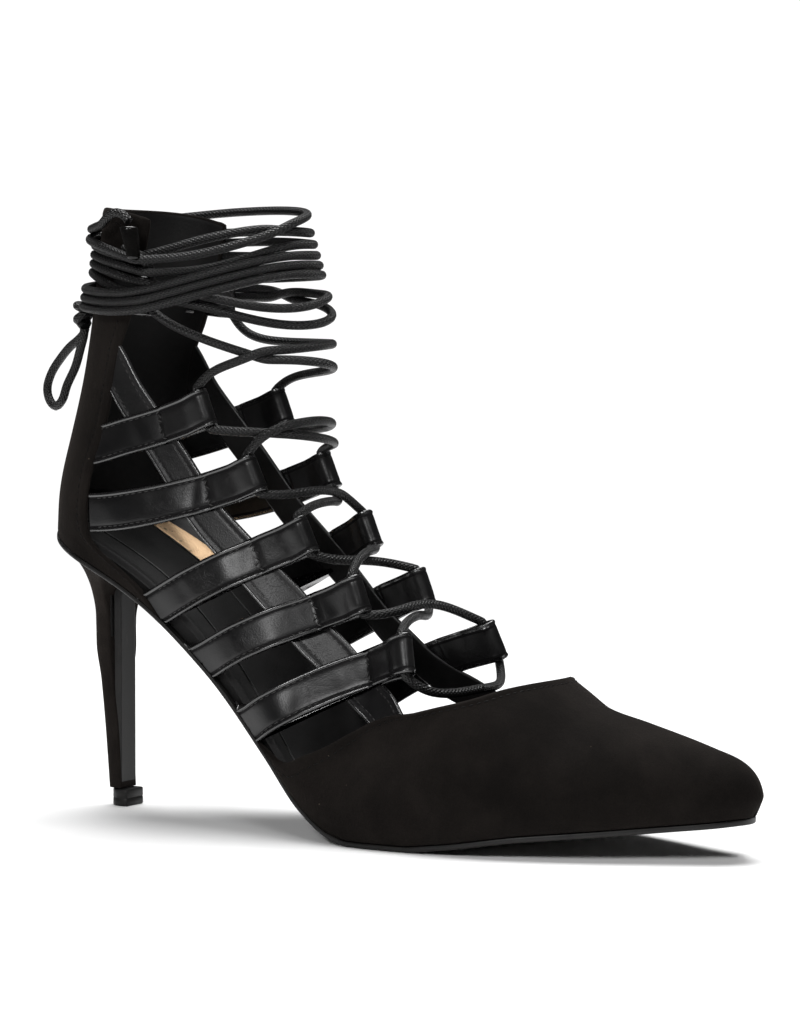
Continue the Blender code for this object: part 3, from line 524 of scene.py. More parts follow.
def cordTube(name, centres, width, look, sides=12, ends=True):  # round cord that carries its own lay for the braid
    centres = np.asarray(centres, float)
    count = len(centres)
    run = np.gradient(centres, axis=0)
    run /= np.linalg.norm(run, axis=1, keepdims=True)
    across = np.cross(run[0], (0.0, 0.0, 1.0))
    if np.linalg.norm(across) < 0.2:
        across = np.cross(run[0], (1.0, 0.0, 0.0))
    frames = []
    for way in run:  # carried along without twist
        across = across - way * np.dot(across, way)
        across = across / np.linalg.norm(across)
        frames.append((across, np.cross(way, across)))
    length = np.concatenate([[0.0], np.cumsum(np.linalg.norm(np.diff(centres, axis=0), axis=1))])
    angles = np.linspace(0.0, 2 * math.pi, sides, endpoint=False)
    radii = np.full(count, width / 2)
    vertices = np.concatenate([c + r * (np.cos(angles)[:, None] * a + np.sin(angles)[:, None] * b)
                               for c, r, (a, b) in zip(centres, radii, frames)])
    faces, lay = [], []
    for i in range(count - 1):
        for j in range(sides):
            k = (j + 1) % sides
            faces.append((i * sides + j, i * sides + k, (i + 1) * sides + k, (i + 1) * sides + j))
            u, v = j / sides, (j + 1) / sides
            lay += [(u, length[i] * mm), (v, length[i] * mm), (v, length[i + 1] * mm), (u, length[i + 1] * mm)]
    faces.append(tuple(range(sides))[::-1])
    lay += [(0.5, 0.0)] * sides
    faces.append(tuple((count - 1) * sides + j for j in range(sides)))
    lay += [(0.5, length[-1] * mm)] * sides
    return makePiece(name, vertices, faces, [look], None, lay, 60.0)


def stitches(name, runs, look, long=1.9, step=2.6, wide=0.42):  # short sunk thread bumps along lines on a surface
    rings, sides = 5, 6
    bean = []
    for k in range(rings):
        t = -1.0 + 2.0 * k / (rings - 1)
        r = math.sqrt(max(0.03, 1.0 - t * t))
        bean.append([(t * long / 2, r * wide / 2 * math.cos(a), r * wide / 2 * 0.8 * math.sin(a))
                     for a in np.linspace(0, 2 * math.pi, sides, endpoint=False)])
    bean = np.array(bean).reshape(-1, 3)
    beanFaces = []
    for k in range(rings - 1):
        for j in range(sides):
            m = (j + 1) % sides
            beanFaces.append((k * sides + j, (k + 1) * sides + j, (k + 1) * sides + m, k * sides + m))
    beanFaces += [tuple(range(sides)), tuple((rings - 1) * sides + j for j in range(sides))[::-1]]
    vertices, faces, made = [], [], 0
    for line, normal in runs:
        line, normal = np.asarray(line, float), np.asarray(normal, float)
        length = np.concatenate([[0.0], np.cumsum(np.linalg.norm(np.diff(line, axis=0), axis=1))])
        for at in np.arange(step, length[-1] - step * 0.6, step):
            centre = np.array([np.interp(at, length, line[:, i]) for i in range(3)])
            ahead = np.array([np.interp(min(at + 0.6, length[-1]), length, line[:, i]) for i in range(3)])
            up = np.array([np.interp(at, length, normal[:, i]) for i in range(3)])
            way = ahead - centre
            if np.linalg.norm(way) < 1e-6:
                continue
            way /= np.linalg.norm(way)
            up = up - way * np.dot(up, way)
            up /= np.linalg.norm(up)
            beside = np.cross(up, way)
            vertices.append(centre + bean[:, :1] * way + bean[:, 1:2] * beside + bean[:, 2:] * up + up * wide * 0.12)
            faces += [tuple(made + v for v in face) for face in beanFaces]
            made += len(bean)
    piece = makePiece(name, np.concatenate(vertices), faces, [look], smooth=70.0)
    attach(piece, "root")
    return piece


# lace: where it runs, in millimetres
lace = {"width": 2.8, "step": 1.4}
hangingLoop = ((-7.5, -10.4, 152.8), (-8.4, -10.0, 151.2), (-11.4, -8.9, 149.2), (-15.6, -7.6, 147.0),
               (-20.0, -6.2, 143.8), (-24.8, -5.2, 138.8), (-26.8, -5.0, 134.0), (-25.4, -5.9, 130.2),
               (-21.6, -7.4, 127.9), (-17.8, -8.8, 130.2), (-15.6, -9.4, 134.6), (-11.9, -9.8, 140.6),
               (-8.6, -11.4, 146.6), (-6.3, -12.7, 150.8), (-5.9, -13.0, 152.7))
freeEnd = ((-6.2, 2.0, 185.4), (-5.8, -6.0, 184.6), (-2.4, -13.6, 184.0), (3.4, -19.8, 184.2), (9.4, -24.2, 185.0),
           (13.4, -26.6, 187.0), (17.3, -27.8, 188.2), (20.6, -28.2, 187.4), (22.7, -28.4, 185.4))


def freeCord(name, route, node):
    line = smoothCurve(route, lace["step"])
    piece = cordTube(name, line, lace["width"], laceLook, 14)
    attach(piece, "root")
    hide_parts(node)
    return piece


tip = {"length": 10.5, "top": 5.8, "end": 4.0, "lean": 0.2}
tipTop = np.array(freeEnd[-1]) - (0.0, 0.0, lace["width"] / 2 + 0.1)
tipRings = []
for downShare, wideShare in ((0.0, 0.55), (0.012, 0.82), (0.05, 0.98), (0.1, 1.0), (0.3, 0.93), (0.5, 0.86), (0.7, 0.80),
                             (0.88, 0.745), (0.95, 0.71), (0.985, 0.6), (1.0, 0.42)):
    spot = tipTop + (downShare * tip["length"] * tip["lean"], 0.0, -downShare * tip["length"])
    wide = tip["top"] * wideShare / 2
    tipRings.append([spot + (wide * math.cos(a), wide * math.sin(a), 0.0) for a in np.linspace(0, 2 * math.pi, 28, endpoint=False)])
tipPiece = closedLoft("laceTip", tipRings[::-1], [rubberFinish("tipSleeve", 0.16, 0.7)], 80.0)
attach(tipPiece, "root")
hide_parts("lace_tip")
laceEnd = freeCord("laceEnd", freeEnd, "lace_end")
laceLoop = freeCord("laceLoop", hangingLoop, "lace_loop")
print("free cords made")

# upper: vamp
vamp = {"around": 110, "along": 150, "wall": 1.6, "edge": 0.35, "toeDent": 0.5}
turns = np.linspace(0.0, math.pi, vamp["around"])
runs = np.linspace(0.0, 1.0, vamp["along"])
runs = 0.55 * runs + 0.45 * np.sin(runs * math.pi / 2)
vampGrid = np.zeros((len(turns), len(runs), 3))
for i, angle in enumerate(turns):
    up = math.sin(angle)
    side = outerSide if angle < math.pi / 2 else innerSide
    start = place(float(fair(toplineRows["up"], toplineRows["along"], up)))
    xs = np.minimum(start + (place(1.0) - start) * runs, place(1.0) - 0.02)
    zs = feather(xs) + up * ridgeHeight(xs)
    nose = last["toeNose"] * ease((xs - place(1.0)) / last["toeRadius"] + 1.0)
    lean = nose * np.minimum(1.0, up * ridgeHeight(xs) / last["nose"])
    vampGrid[i] = np.stack([xs + lean, side * lastHalf(xs, zs, side), zs], axis=1)
edgeNear = np.exp(-((runs * 146.0 - 1.2) / 1.1) ** 2)
vampThick = vamp["wall"] + vamp["edge"] * edgeNear[None, :]
vampPiece, vampOuter, vampNormal = shell("vamp", vampGrid, vampThick, 1.0, [suedeLook, liningLook])
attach(vampPiece, "root")
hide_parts("upper")
print("vamp made")

# upper: counter
counter = {"ups": 120, "turns": 130, "wall": 1.6, "edge": 0.3}
counterTurns = np.linspace(-1.0, 1.0, counter["turns"])
counterUps = np.linspace(0.0, 1.0, counter["ups"]) ** 1.15
counterGrid = np.zeros((counter["ups"], counter["turns"], 3))
spread = 1.0 - np.cos(np.abs(counterTurns) * math.pi / 2)
for i, up in enumerate(counterUps):
    edge = place(float(fair(counterRows["up"], counterRows["forward"], up)))
    xs = np.full(counter["turns"], place(0.0))
    zs = np.full(counter["turns"], last["collar"])
    for _ in range(30):
        top = last["collar"] - last["collarDrop"] * spread ** 2
        zs = feather(xs) + up * (top - feather(xs))
        xs = backX(zs) + (edge - backX(zs)) * spread
    wide = np.where(counterTurns < 0, lastHalf(xs, zs, outerSide), lastHalf(xs, zs, innerSide))
    counterGrid[i] = np.stack([xs, np.sign(counterTurns) * wide, zs], axis=1)
fromFront = (1.0 - np.abs(counterTurns)) * 45.0
fromTop = (1.0 - counterUps) * 100.0
counterThick = (counter["wall"] + counter["edge"] * np.exp(-((fromFront - 1.4) / 1.1) ** 2)[None, :]
                + counter["edge"] * np.exp(-((fromTop - 1.4) / 1.1) ** 2)[:, None])
seamLine = -0.35 * np.exp(-((np.abs(counterTurns) * 40.0) / 0.7) ** 2)[None, :]
counterPiece, counterOuter, counterNormal = shell("counter", counterGrid, counterThick + seamLine, -1.0,
                                                  [suedeLook, liningLook])
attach(counterPiece, "root")
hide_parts("upper")
print("counter made")

# upper: cross straps with their loops
strap = {"width": 12.0, "layer": 1.15, "half": 0.65, "double": 1.3, "hole": 1.8, "wall": 1.1, "fold": 17.0, "lift": 1.1,
         "round": 0.5}
strapRows = ((0.126, 1.110, 0.190, 1.195, 0.0), (0.101, 0.468, 0.282, 0.987, -0.08), (0.103, 0.209, 0.356, 0.949, -0.25),
             (0.214, 0.039, 0.427, 0.946, 0.0), (0.297, 0.053, 0.509, 0.890, 0.04), (0.374, 0.051, 0.597, 0.691, 0.13))
baseTuck = (0.0, 0.0, 0.0, 9.0, 9.0, 8.0)
# soft troughs across a strap: strap, share of its length, depth, width, slant
creaseRows = columns("strap at deep wide slant", (1, 0.40, 0.16, 2.2, 0.25), (1, 0.80, 0.10, 1.6, -0.2),
                     (2, 0.30, 0.14, 2.6, 0.2), (2, 0.62, 0.18, 1.8, -0.3), (3, 0.22, 0.20, 2.4, 0.3),
                     (3, 0.55, 0.22, 2.8, -0.2), (3, 0.87, 0.12, 1.4, 0.1), (4, 0.18, 0.16, 2.0, 0.2),
                     (4, 0.47, 0.22, 3.0, 0.25), (4, 0.88, 0.14, 1.5, -0.15), (5, 0.25, 0.18, 2.6, -0.2),
                     (5, 0.52, 0.20, 2.6, 0.2), (5, 0.86, 0.14, 1.5, 0.2))


def sidePlace(along, rise):
    x = place(np.asarray(along, float))
    return x, feather(x) + np.asarray(rise, float) * last["instep"]


def strapSurface(row, side, runs, widths, bowWidth=12.0):
    start = np.array(sidePlace(row[0], row[1]))
    end = np.array(sidePlace(row[2], row[3]))
    length = np.linalg.norm(end - start)
    run = (end - start) / length
    square = np.array([-run[1], run[0]])
    t = runs / length
    bow = 4 * t * (1 - t) * row[4] * bowWidth * (t > 0)
    centre = start + run * runs[:, None] + square * bow[:, None]
    way = np.gradient(centre, axis=0)
    way /= np.linalg.norm(way, axis=1, keepdims=True)
    across = np.stack([-way[:, 1], way[:, 0]], axis=1)
    grid = np.zeros((len(widths), len(runs), 3))
    for i, w in enumerate(widths):
        flat = centre + across * w
        flat[:, 1] = np.maximum(flat[:, 1], feather(flat[:, 0]))
        grid[i] = np.stack([flat[:, 0], side * lastHalf(flat[:, 0], flat[:, 1], side), flat[:, 1]], axis=1)
    return grid, sideNormals(grid, side), length


def lengthOf(row):
    return float(np.linalg.norm(np.array(sidePlace(row[2], row[3])) - np.array(sidePlace(row[0], row[1]))))


def strapHalf(left):
    nose = strap["hole"] + strap["wall"]
    fold = 1.0 - ease((left - nose) / (strap["fold"] * 0.45))
    return strap["double"] + (nose - strap["double"]) * fold


strapStitchRuns = []


def makeStrap(index, row, side):
    length = lengthOf(row)
    nose = strap["hole"] + strap["wall"]
    tuck = baseTuck[index]
    wide = strap["width"] / 2
    edge = strap["round"]
    insets = [(wide, edge), (wide - 0.12 * edge, 0.53 * edge), (wide - 0.5 * edge, 0.13 * edge), (wide - edge, 0.0)]
    rim = [wide - 0.85, wide - 1.2, wide - 1.6, wide - 2.0]
    inner = [-w for w in rim] + list(np.linspace(-wide + 3.0, wide - 3.0, 7)) + rim[::-1]
    across = [(-w, e) for w, e in insets] + [(w, 0.0) for w in inner] + [(w, e) for w, e in insets[::-1]]
    widths = np.array([w for w, _ in across])
    fine = np.linspace(-tuck, length - 0.0, 130)
    grid, normal, _ = strapSurface(row, side, fine, widths)

    def lift(s):
        return strap["lift"] * ease(s / (0.3 * length)) + 0.65

    foldStart = length - strap["fold"]
    body = np.arange(-tuck, length - nose, 0.9)
    left = length - body
    blend = ease((strap["fold"] + 1.6 - left) / 1.6)
    topHalf = strap["half"] + (strapHalf(left) - strap["half"]) * blend
    outerLine = [(s, lift(s) + h, 1) for s, h in zip(body, topHalf)]
    arc = [(length - nose + nose * math.sin(a), lift(length) + nose * math.cos(a), 1) for a in np.linspace(0.0, math.pi, 15)]
    foldRuns = np.arange(length - nose - 0.9, foldStart, -0.9)
    under = [(s, lift(s) - strapHalf(length - s), 0) for s in foldRuns]
    endHalf = strapHalf(strap["fold"])
    endZ = lift(foldStart) - endHalf + strap["layer"] / 2
    foldEnd = [(foldStart - strap["layer"] / 2 * math.sin(a), endZ - strap["layer"] / 2 * math.cos(a), 0)
               for a in np.linspace(0.3, math.pi - 0.3, 5)]
    underTop = [(s, lift(s) - strapHalf(length - s) + strap["layer"], 0) for s in foldRuns[::-1]]
    hole = [(length - nose + strap["hole"] * math.sin(a), lift(length) + strap["hole"] * math.cos(a), 0)
            for a in np.linspace(math.pi, 0.0, 11)]
    innerLine = [(s, lift(s) + h - strap["layer"], 0) for s, h in zip(body[::-1], topHalf[::-1])]
    profile = outerLine + arc + under + foldEnd + underTop + hole + innerLine
    flat = np.array([(s, n) for s, n, _ in profile])
    top = np.array([t for _, _, t in profile], float)
    way = np.roll(flat, -1, axis=0) - np.roll(flat, 1, axis=0)
    way /= np.maximum(np.linalg.norm(way, axis=1, keepdims=True), 1e-9)
    out = np.stack([-way[:, 1], way[:, 0]], axis=1)
    vertices = []
    mine = creaseRows["strap"] == index
    for j, (w, inset) in enumerate(across):
        s, n = flat[:, 0] - out[:, 0] * inset, flat[:, 1] - out[:, 1] * inset
        face = np.zeros(len(s))
        face -= 0.20 * np.exp(-((abs(w) - wide + 1.55) / 0.42) ** 2)  # the sewn channel
        face += 0.26 * np.exp(-((abs(w) - wide + 0.65) / 0.42) ** 2)  # the folded edge
        for at, deep, broad, slant in zip(creaseRows["at"][mine], creaseRows["deep"][mine], creaseRows["wide"][mine],
                                          creaseRows["slant"][mine]):
            d = (s - at * length + w * slant * (1.0 if side < 0 else -0.7)) / broad
            face += deep * (0.6 * np.exp(-(d - 1.3) ** 2) - np.exp(-d ** 2)) * (1.0 - (w / (wide + 2.0)) ** 2)
        face -= 0.22 * np.exp(-((s - foldStart + 2.0) / 0.6) ** 2)  # the row sewn across the fold's end
        face += 0.07 * np.sin(s * 0.55 + index * 1.7 + w * 0.12) * (1.0 - (w / wide) ** 2)
        sag = 0.5 if index > 2 else 0.25
        face += sag * (np.exp(-((s - foldStart + 13.0) / 6.0) ** 2) - np.exp(-((s - foldStart + 1.0) / 5.0) ** 2))
        n = n + face * top
        at = np.clip(s, fine[0], fine[-1])
        P = np.stack([np.interp(at, fine, grid[j, :, i]) for i in range(3)], axis=1)
        N = np.stack([np.interp(at, fine, normal[j, :, i]) for i in range(3)], axis=1)
        vertices.append(P + N * n[:, None])
    vertices = np.array(vertices)
    rows, count = vertices.shape[:2]
    faces, faceLooks = [], []
    for j in range(rows - 1):
        for k in range(count):
            m = (k + 1) % count
            quad = (j * count + k, j * count + m, (j + 1) * count + m, (j + 1) * count + k)
            faces.append(quad if side < 0 else quad[::-1])
            toEdge = wide - abs(widths[j] + widths[j + 1]) / 2
            faceLooks.append(1 if toEdge < 1.1 else 2 if toEdge < 1.9 else 0)
    firstCap, lastCap = tuple(range(count)), tuple((rows - 1) * count + k for k in range(count))
    faces.append(firstCap[::-1] if side < 0 else firstCap)
    faces.append(lastCap if side < 0 else lastCap[::-1])
    name = f"strap{index}{'Outer' if side < 0 else 'Inner'}"
    piece = makePiece(name, vertices.reshape(-1, 3), faces, [strapLook, strapEdgeLook, channelLook], faceLooks + [1, 1], smooth=60.0)
    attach(piece, "root")
    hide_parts("upper")
    for w in (-wide + 1.55, wide - 1.55):
        j = int(np.argmin(np.abs(widths - w)))
        keep = (body > 1.0) & (left > strap["fold"] + 3.5)
        at = body[keep]
        P = np.stack([np.interp(at, fine, grid[j, :, i]) for i in range(3)], axis=1)
        N = np.stack([np.interp(at, fine, normal[j, :, i]) for i in range(3)], axis=1)
        if len(at) > 4:
            strapStitchRuns.append((P + N * (lift(at) + topHalf[keep] - 0.10)[:, None], N))
    s = foldStart - 2.0
    zig = np.array([0.55 * (-1) ** k for k in range(len(widths) - 8)])
    P = np.array([[np.interp(s + z, fine, grid[j, :, i]) for i in range(3)] for z, j in zip(zig, range(4, len(widths) - 4))])
    N = np.array([[np.interp(s, fine, normal[j, :, i]) for i in range(3)] for j in range(4, len(widths) - 4)])
    strapStitchRuns.append((P + N * (lift(s) + strap["half"] + 0.18), N))
    return piece


for index, row in enumerate(strapRows):
    for side in (outerSide, innerSide):
        makeStrap(index, row, side)
print("straps made")

# upper: slanting straps under the cross straps
slantRows = columns("along rise", (0.099, 0.9), (0.124, 0.833), (0.15, 0.749), (0.221, 0.63), (0.297, 0.551),
                    (0.38, 0.568), (0.458, 0.581), (0.546, 0.484), (0.583, 0.4))
slant = {"width": 10.0, "wall": 1.25}
slantStitchRuns = []
for side in (outerSide, innerSide):
    ways = np.linspace(0.0, 1.0, len(slantRows["along"]))
    t = np.linspace(0.0, 1.0, 150)
    x, z = sidePlace(fair(ways, slantRows["along"], t), fair(ways, slantRows["rise"], t))
    centre = np.stack([x, z], axis=1)
    way = np.gradient(centre, axis=0)
    way /= np.linalg.norm(way, axis=1, keepdims=True)
    across = np.stack([-way[:, 1], way[:, 0]], axis=1)
    wides = np.linspace(-0.5, 0.5, 25) * slant["width"]
    grid = np.zeros((len(wides), len(t), 3))
    for i, w in enumerate(wides):
        flat = centre + across * w
        grid[i] = np.stack([flat[:, 0], side * lastHalf(flat[:, 0], flat[:, 1], side), flat[:, 1]], axis=1)
    sign = 1.0 if normals(grid)[..., 1].mean() * side > 0 else -1.0
    edge = np.abs(wides) - slant["width"] / 2
    thick = slant["wall"] + 0.12 * np.exp(-((edge + 0.6) / 0.5) ** 2) - 0.14 * np.exp(-((edge + 1.5) / 0.4) ** 2)
    piece, outer, normal = shell(f"slant{'Outer' if side < 0 else 'Inner'}", grid, thick[:, None], sign,
                                 [slantLook, liningLook], low=0.08)
    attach(piece, "root")
    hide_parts("upper")
    for i in (4, len(wides) - 5):
        slantStitchRuns.append((outer[i], normal[i]))
    for name, i in (("Front", 0), ("Back", -1)):
        piece = cordTube(f"slantFold{name}{'Outer' if side < 0 else 'Inner'}", outer[i] - normal[i] * 0.30, 0.85, strapEdgeLook, 8)
        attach(piece, "root")
print("slanting straps made")

stitches("strapStitches", strapStitchRuns, threadLook, 1.7, 2.3, 0.40)
stitches("slantStitches", slantStitchRuns, threadLook, 1.7, 2.3, 0.38)
toplineStitch = [(vampOuter[:, 3], vampNormal[:, 3])]
stitches("vampStitches", toplineStitch, suedeThreadLook, 1.5, 2.3, 0.36)
front = 5
counterStitch = [(counterOuter[4:-3, front], counterNormal[4:-3, front]),
                 (counterOuter[4:-3, -1 - front], counterNormal[4:-3, -1 - front]),
                 (counterOuter[-4, front:-front], counterNormal[-4, front:-front])]
stitches("counterStitches", counterStitch, suedeThreadLook, 1.5, 2.3, 0.36)
print("stitches made")

# sock on the insole, with a plain foil patch
sock = {"along": 150, "across": 49, "dome": 3.8, "tilt": 6.0, "roll": 0.5, "bank": 2.6}


def insoleTop(x):
    return feather(x) + last["insole"] + (last["insoleSeat"] - last["insole"]) * ease(2.2 - 5.0 * share(x))


def sockPoint(x, v):  # v from -1, the outer edge, to 1, the inner edge
    x, v = np.broadcast_arrays(np.asarray(x, float), np.asarray(v, float))
    half = np.where(v < 0, np.minimum(lastHalf(x, feather(x), -1.0), lastHalf(x, insoleTop(x), -1.0)),
                    np.minimum(lastHalf(x, feather(x), 1.0), lastHalf(x, insoleTop(x), 1.0))) - 0.7
    dome = (sock["dome"] * (1.0 - v ** 2) + sock["tilt"] * ease((v + 0.2) / 1.2)) * ease(2.2 - 4.0 * share(x))
    roll = sock["roll"] * np.exp(-((np.abs(v) - 0.93) / 0.045) ** 2)
    roll = roll + sock["bank"] * np.exp(-((x - 13.0) / 7.0) ** 2) * ease((v - 0.62) / 0.3)
    return np.stack([x, v * half, insoleTop(x) + dome + roll - 0.9 * ease((np.abs(v) - 0.94) / 0.06)], axis=-1)


sockStart, sockEnd = float(backX(insoleTop(place(0.0)))) + 1.4, place(1.0) - 3.0
sockTurns = np.linspace(0.0, math.pi, sock["along"])
sockXs = 0.5 * (sockStart + sockEnd) - 0.5 * (sockEnd - sockStart) * np.cos(sockTurns)
sockVs = np.sin(np.linspace(-math.pi / 2, math.pi / 2, sock["across"]))
sockGrid = np.array([sockPoint(sockXs, v) for v in sockVs])
bottomGrid = sockGrid.copy()
bottomGrid[..., 2] = feather(bottomGrid[..., 0]) + 0.05
rows, cols = sockGrid.shape[:2]
index = np.arange(rows * cols).reshape(rows, cols)
quads = np.stack([index[:-1, :-1], index[:-1, 1:], index[1:, 1:], index[1:, :-1]], axis=-1).reshape(-1, 4)
faces = [tuple(q) for q in quads] + [tuple(q[::-1] + rows * cols) for q in quads]
rimLoop = [index[0, j] for j in range(cols)] + [index[i, -1] for i in range(1, rows)]
rimLoop += [index[-1, j] for j in range(cols - 2, -1, -1)] + [index[i, 0] for i in range(rows - 2, 0, -1)]
for a, b in zip(rimLoop, rimLoop[1:] + rimLoop[:1]):
    faces.append((b, a, a + rows * cols, b + rows * cols))
sockPiece = makePiece("sock", np.concatenate([sockGrid.reshape(-1, 3), bottomGrid.reshape(-1, 3)]), faces, [liningLook])
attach(sockPiece, "root")
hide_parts("insole")

patch = {"from": 2.0, "to": 26.0, "lowBack": 0.34, "lowFront": 0.22, "high": 0.64, "thick": 0.08}
patchXs = np.linspace(patch["from"], patch["to"], 60)
patchLow = patch["lowBack"] + (patch["lowFront"] - patch["lowBack"]) * (patchXs - patch["from"]) / (patch["to"] - patch["from"])
patchGrid = np.array([sockPoint(patchXs, patchLow + (patch["high"] - patchLow) * t) + (0.0, 0.0, 0.05)
                      for t in np.linspace(0.0, 1.0, 20)])
patchPiece, _, _ = shell("foilPatch", patchGrid, patch["thick"], -1.0, [foilLook, foilLook])
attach(patchPiece, "root")

# thin piping along the sock: rows of along, across
pipings = {"sockPipingOuter": ((-9.0, -0.60), (12.0, -0.61), (27.0, -0.62), (60.0, -0.72), (100.0, -0.86)),
           "sockPipingInner": ((-4.0, 0.36), (5.7, 0.30), (16.6, 0.22), (26.4, 0.20), (48.0, 0.12))}
for name, rows in pipings.items():
    alongs = np.linspace(rows[0][0], rows[-1][0], 60)
    acrosses = fair(np.array([r[0] for r in rows]), np.array([r[1] for r in rows]), alongs)
    line = sockPoint(alongs, acrosses) + (0.0, 0.0, 0.12)
    piece = cordTube(name, line, 0.62, slantLook, 8)
    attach(piece, "root")
print("sock made")

# outsole, heel and lift
outsole = {"stations": 220, "edge": 0.45, "reach": 1.28}


def soleRing(x):
    t = (x - soleStart) / (soleEnd - soleStart)
    proud = max(0.02, last["suede"] * float(roundEnd(x - soleStart, outsole["reach"]) * roundEnd(soleEnd - x, outsole["reach"])))
    half = [float(soleHalf(place(t), side)) + proud for side in (-1.0, 1.0)]
    low, high = float(underside(x)), float(underside(x)) + last["outsole"]
    r = min(outsole["edge"], 0.9 * min(half))
    ring = []
    for side, h in ((-1.0, half[0]), (1.0, half[1])):
        corner = [(h - r + r * math.sin(a), low + r - r * math.cos(a)) for a in np.linspace(0.0, math.pi / 2, 4)]
        corner += [(h - r + r * math.cos(a), high - r + r * math.sin(a)) for a in np.linspace(0.0, math.pi / 2, 4)]
        points = [(x, side * y, z) for y, z in corner]
        ring += points[::-1] if side < 0 else points
    return ring


soleStart, soleEnd = place(0.0) - outsole["reach"], place(1.0) + outsole["reach"]
soleTurns = np.linspace(0.0, math.pi, outsole["stations"])
soleXs = 0.5 * (soleStart + soleEnd) - 0.5 * (soleEnd - soleStart) * np.cos(soleTurns)
solePiece = closedLoft("treadSole", [soleRing(float(x)) for x in soleXs], [soleLook])
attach(solePiece, "root")
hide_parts("outsole")

heelRows = columns("up back breast half round", (0, -0.26, 0.075, 0.175, 0.6), (0.25, -0.335, 0.025, 0.19, 0.6),
                   (0.45, -0.4, -0.035, 0.22, 0.6), (0.6, -0.46, -0.03, 0.3, 0.65), (0.72, -0.47, -0.04, 0.31, 0.7),
                   (0.82, -0.5, -0.035, 0.4, 0.75), (0.9, -0.61, 0.07, 0.56, 0.85), (0.96, -0.79, 0.24, 0.77, 0.92),
                   (1, -1, 0.48, 0.985, 1))
heel = {"bottom": 5.8, "rings": 110, "round": 30, "front": 15, "breast": 0.5}
seatHalf = float(soleHalf(last["seatRadius"] - last["seatBack"], -1.0)) + last["suede"]


def heelRow(up):
    row = {name: float(fair(heelRows["up"], heelRows[name], up)) for name in ("back", "breast", "half", "round")}
    back, breast = row["back"] * (last["seatBack"] + last["suede"] * 0.6), row["breast"] * last["seatBack"]
    return back, breast, row["half"] * seatHalf, row


def heelSpot(x, y, up, proud=0.0):
    return (x + proud, y, heel["bottom"] + up * (float(underside(x)) + 0.25 - heel["bottom"]))


heelRings, breastRows = [], []
for up in np.linspace(0.0, 1.0, heel["rings"]) ** 0.9:
    back, breast, half, row = heelRow(up)
    bend = min((breast - back) * row["round"], half * 1.3)
    ring = [(back + bend - bend * math.cos(a), half * math.sin(a)) for a in np.linspace(-math.pi / 2, math.pi / 2, heel["round"])]
    corner = min(0.9, half * 0.2)
    ring += [(breast - corner + corner * math.sin(a), half - corner + corner * math.cos(a)) for a in (0.3, 0.8, 1.3)]
    fronts = np.linspace(0.85, -0.85, heel["front"])
    ring += [(breast - 0.6 * (1.0 - c * c) * row["half"], c * half) for c in fronts]
    ring += [(breast - corner + corner * math.sin(a), -half + corner - corner * math.cos(a)) for a in (1.3, 0.8, 0.3)]
    heelRings.append([heelSpot(x, y, up) for x, y in ring])
    breastRows.append([heelSpot(breast - 0.6 * (1.0 - c * c) * row["half"], c * half, up) for c in fronts[::-1]])
heelPiece = closedLoft("heelBlock", heelRings, [paintedLightHeelSuedeLook])
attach(heelPiece, "root")
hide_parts("heel")
breastGrid = np.array(breastRows)[:-1]
breastPiece, _, _ = shell("heelBreast", breastGrid, heel["breast"], 1.0, [breastLook, breastLook], low=-0.1)
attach(breastPiece, "root")

lift = {"height": 5.5, "deep": 7.6, "wide": 9.2, "edge": 0.4}
liftRings = []
for z, inset in ((0.0, 0.4), (0.12, 0.12), (0.4, 0.0), (2.4, 0.0), (2.5, 0.1), (2.7, 0.1), (2.8, 0.0), (5.1, 0.0), (5.38, 0.12), (5.5, 0.4)):
    wide, deep = lift["wide"] / 2, lift["deep"]
    ring = [(wide - deep / 2 - (wide - inset) * math.cos(a), (wide - inset) * math.sin(a))
            for a in np.linspace(-math.pi / 2, math.pi / 2, 30)]
    ring += [(deep / 2 - inset - 0.5 + 0.5 * math.sin(a), wide - inset - 0.5 + 0.5 * math.cos(a)) for a in (0.2, 0.8, 1.4)]
    ring += [(deep / 2 - inset - 0.5 + 0.5 * math.sin(a), -wide + inset + 0.5 - 0.5 * math.cos(a)) for a in (1.4, 0.8, 0.2)]
    liftRings.append([(x, y, z) for x, y in ring])
liftPiece = closedLoft("heelTip", liftRings, [liftLook])
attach(liftPiece, "root")
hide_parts("heel_lift")
print("sole and heel made")

# lace through the loops: hole middles from the foot up, outer side (mirrored for the inner)
holeRows = [((26.7, 21.8, 158.1), (26.4, 21.8, 170.1)), ((47.9, 21.7, 122.1), (43.6, 21.8, 133.3)),
            ((65.8, 21.0, 102.3), (61.1, 21.3, 113.3)), ((82.9, 18.6, 84.2), (78.0, 19.1, 95.1)),
            ((101.8, 19.3, 66.8), (97.4, 19.0, 78.0)), ((121.7, 28.0, 50.3), (118.2, 24.5, 61.7))]


def through(hole, side):  # low mouth, middle, high mouth
    low, high = np.array(holeRows[hole][0]), np.array(holeRows[hole][1])
    low, high = low * (1, side, 1), high * (1, side, 1)
    return [tuple(low), tuple(0.5 * (low + high)), tuple(high)]


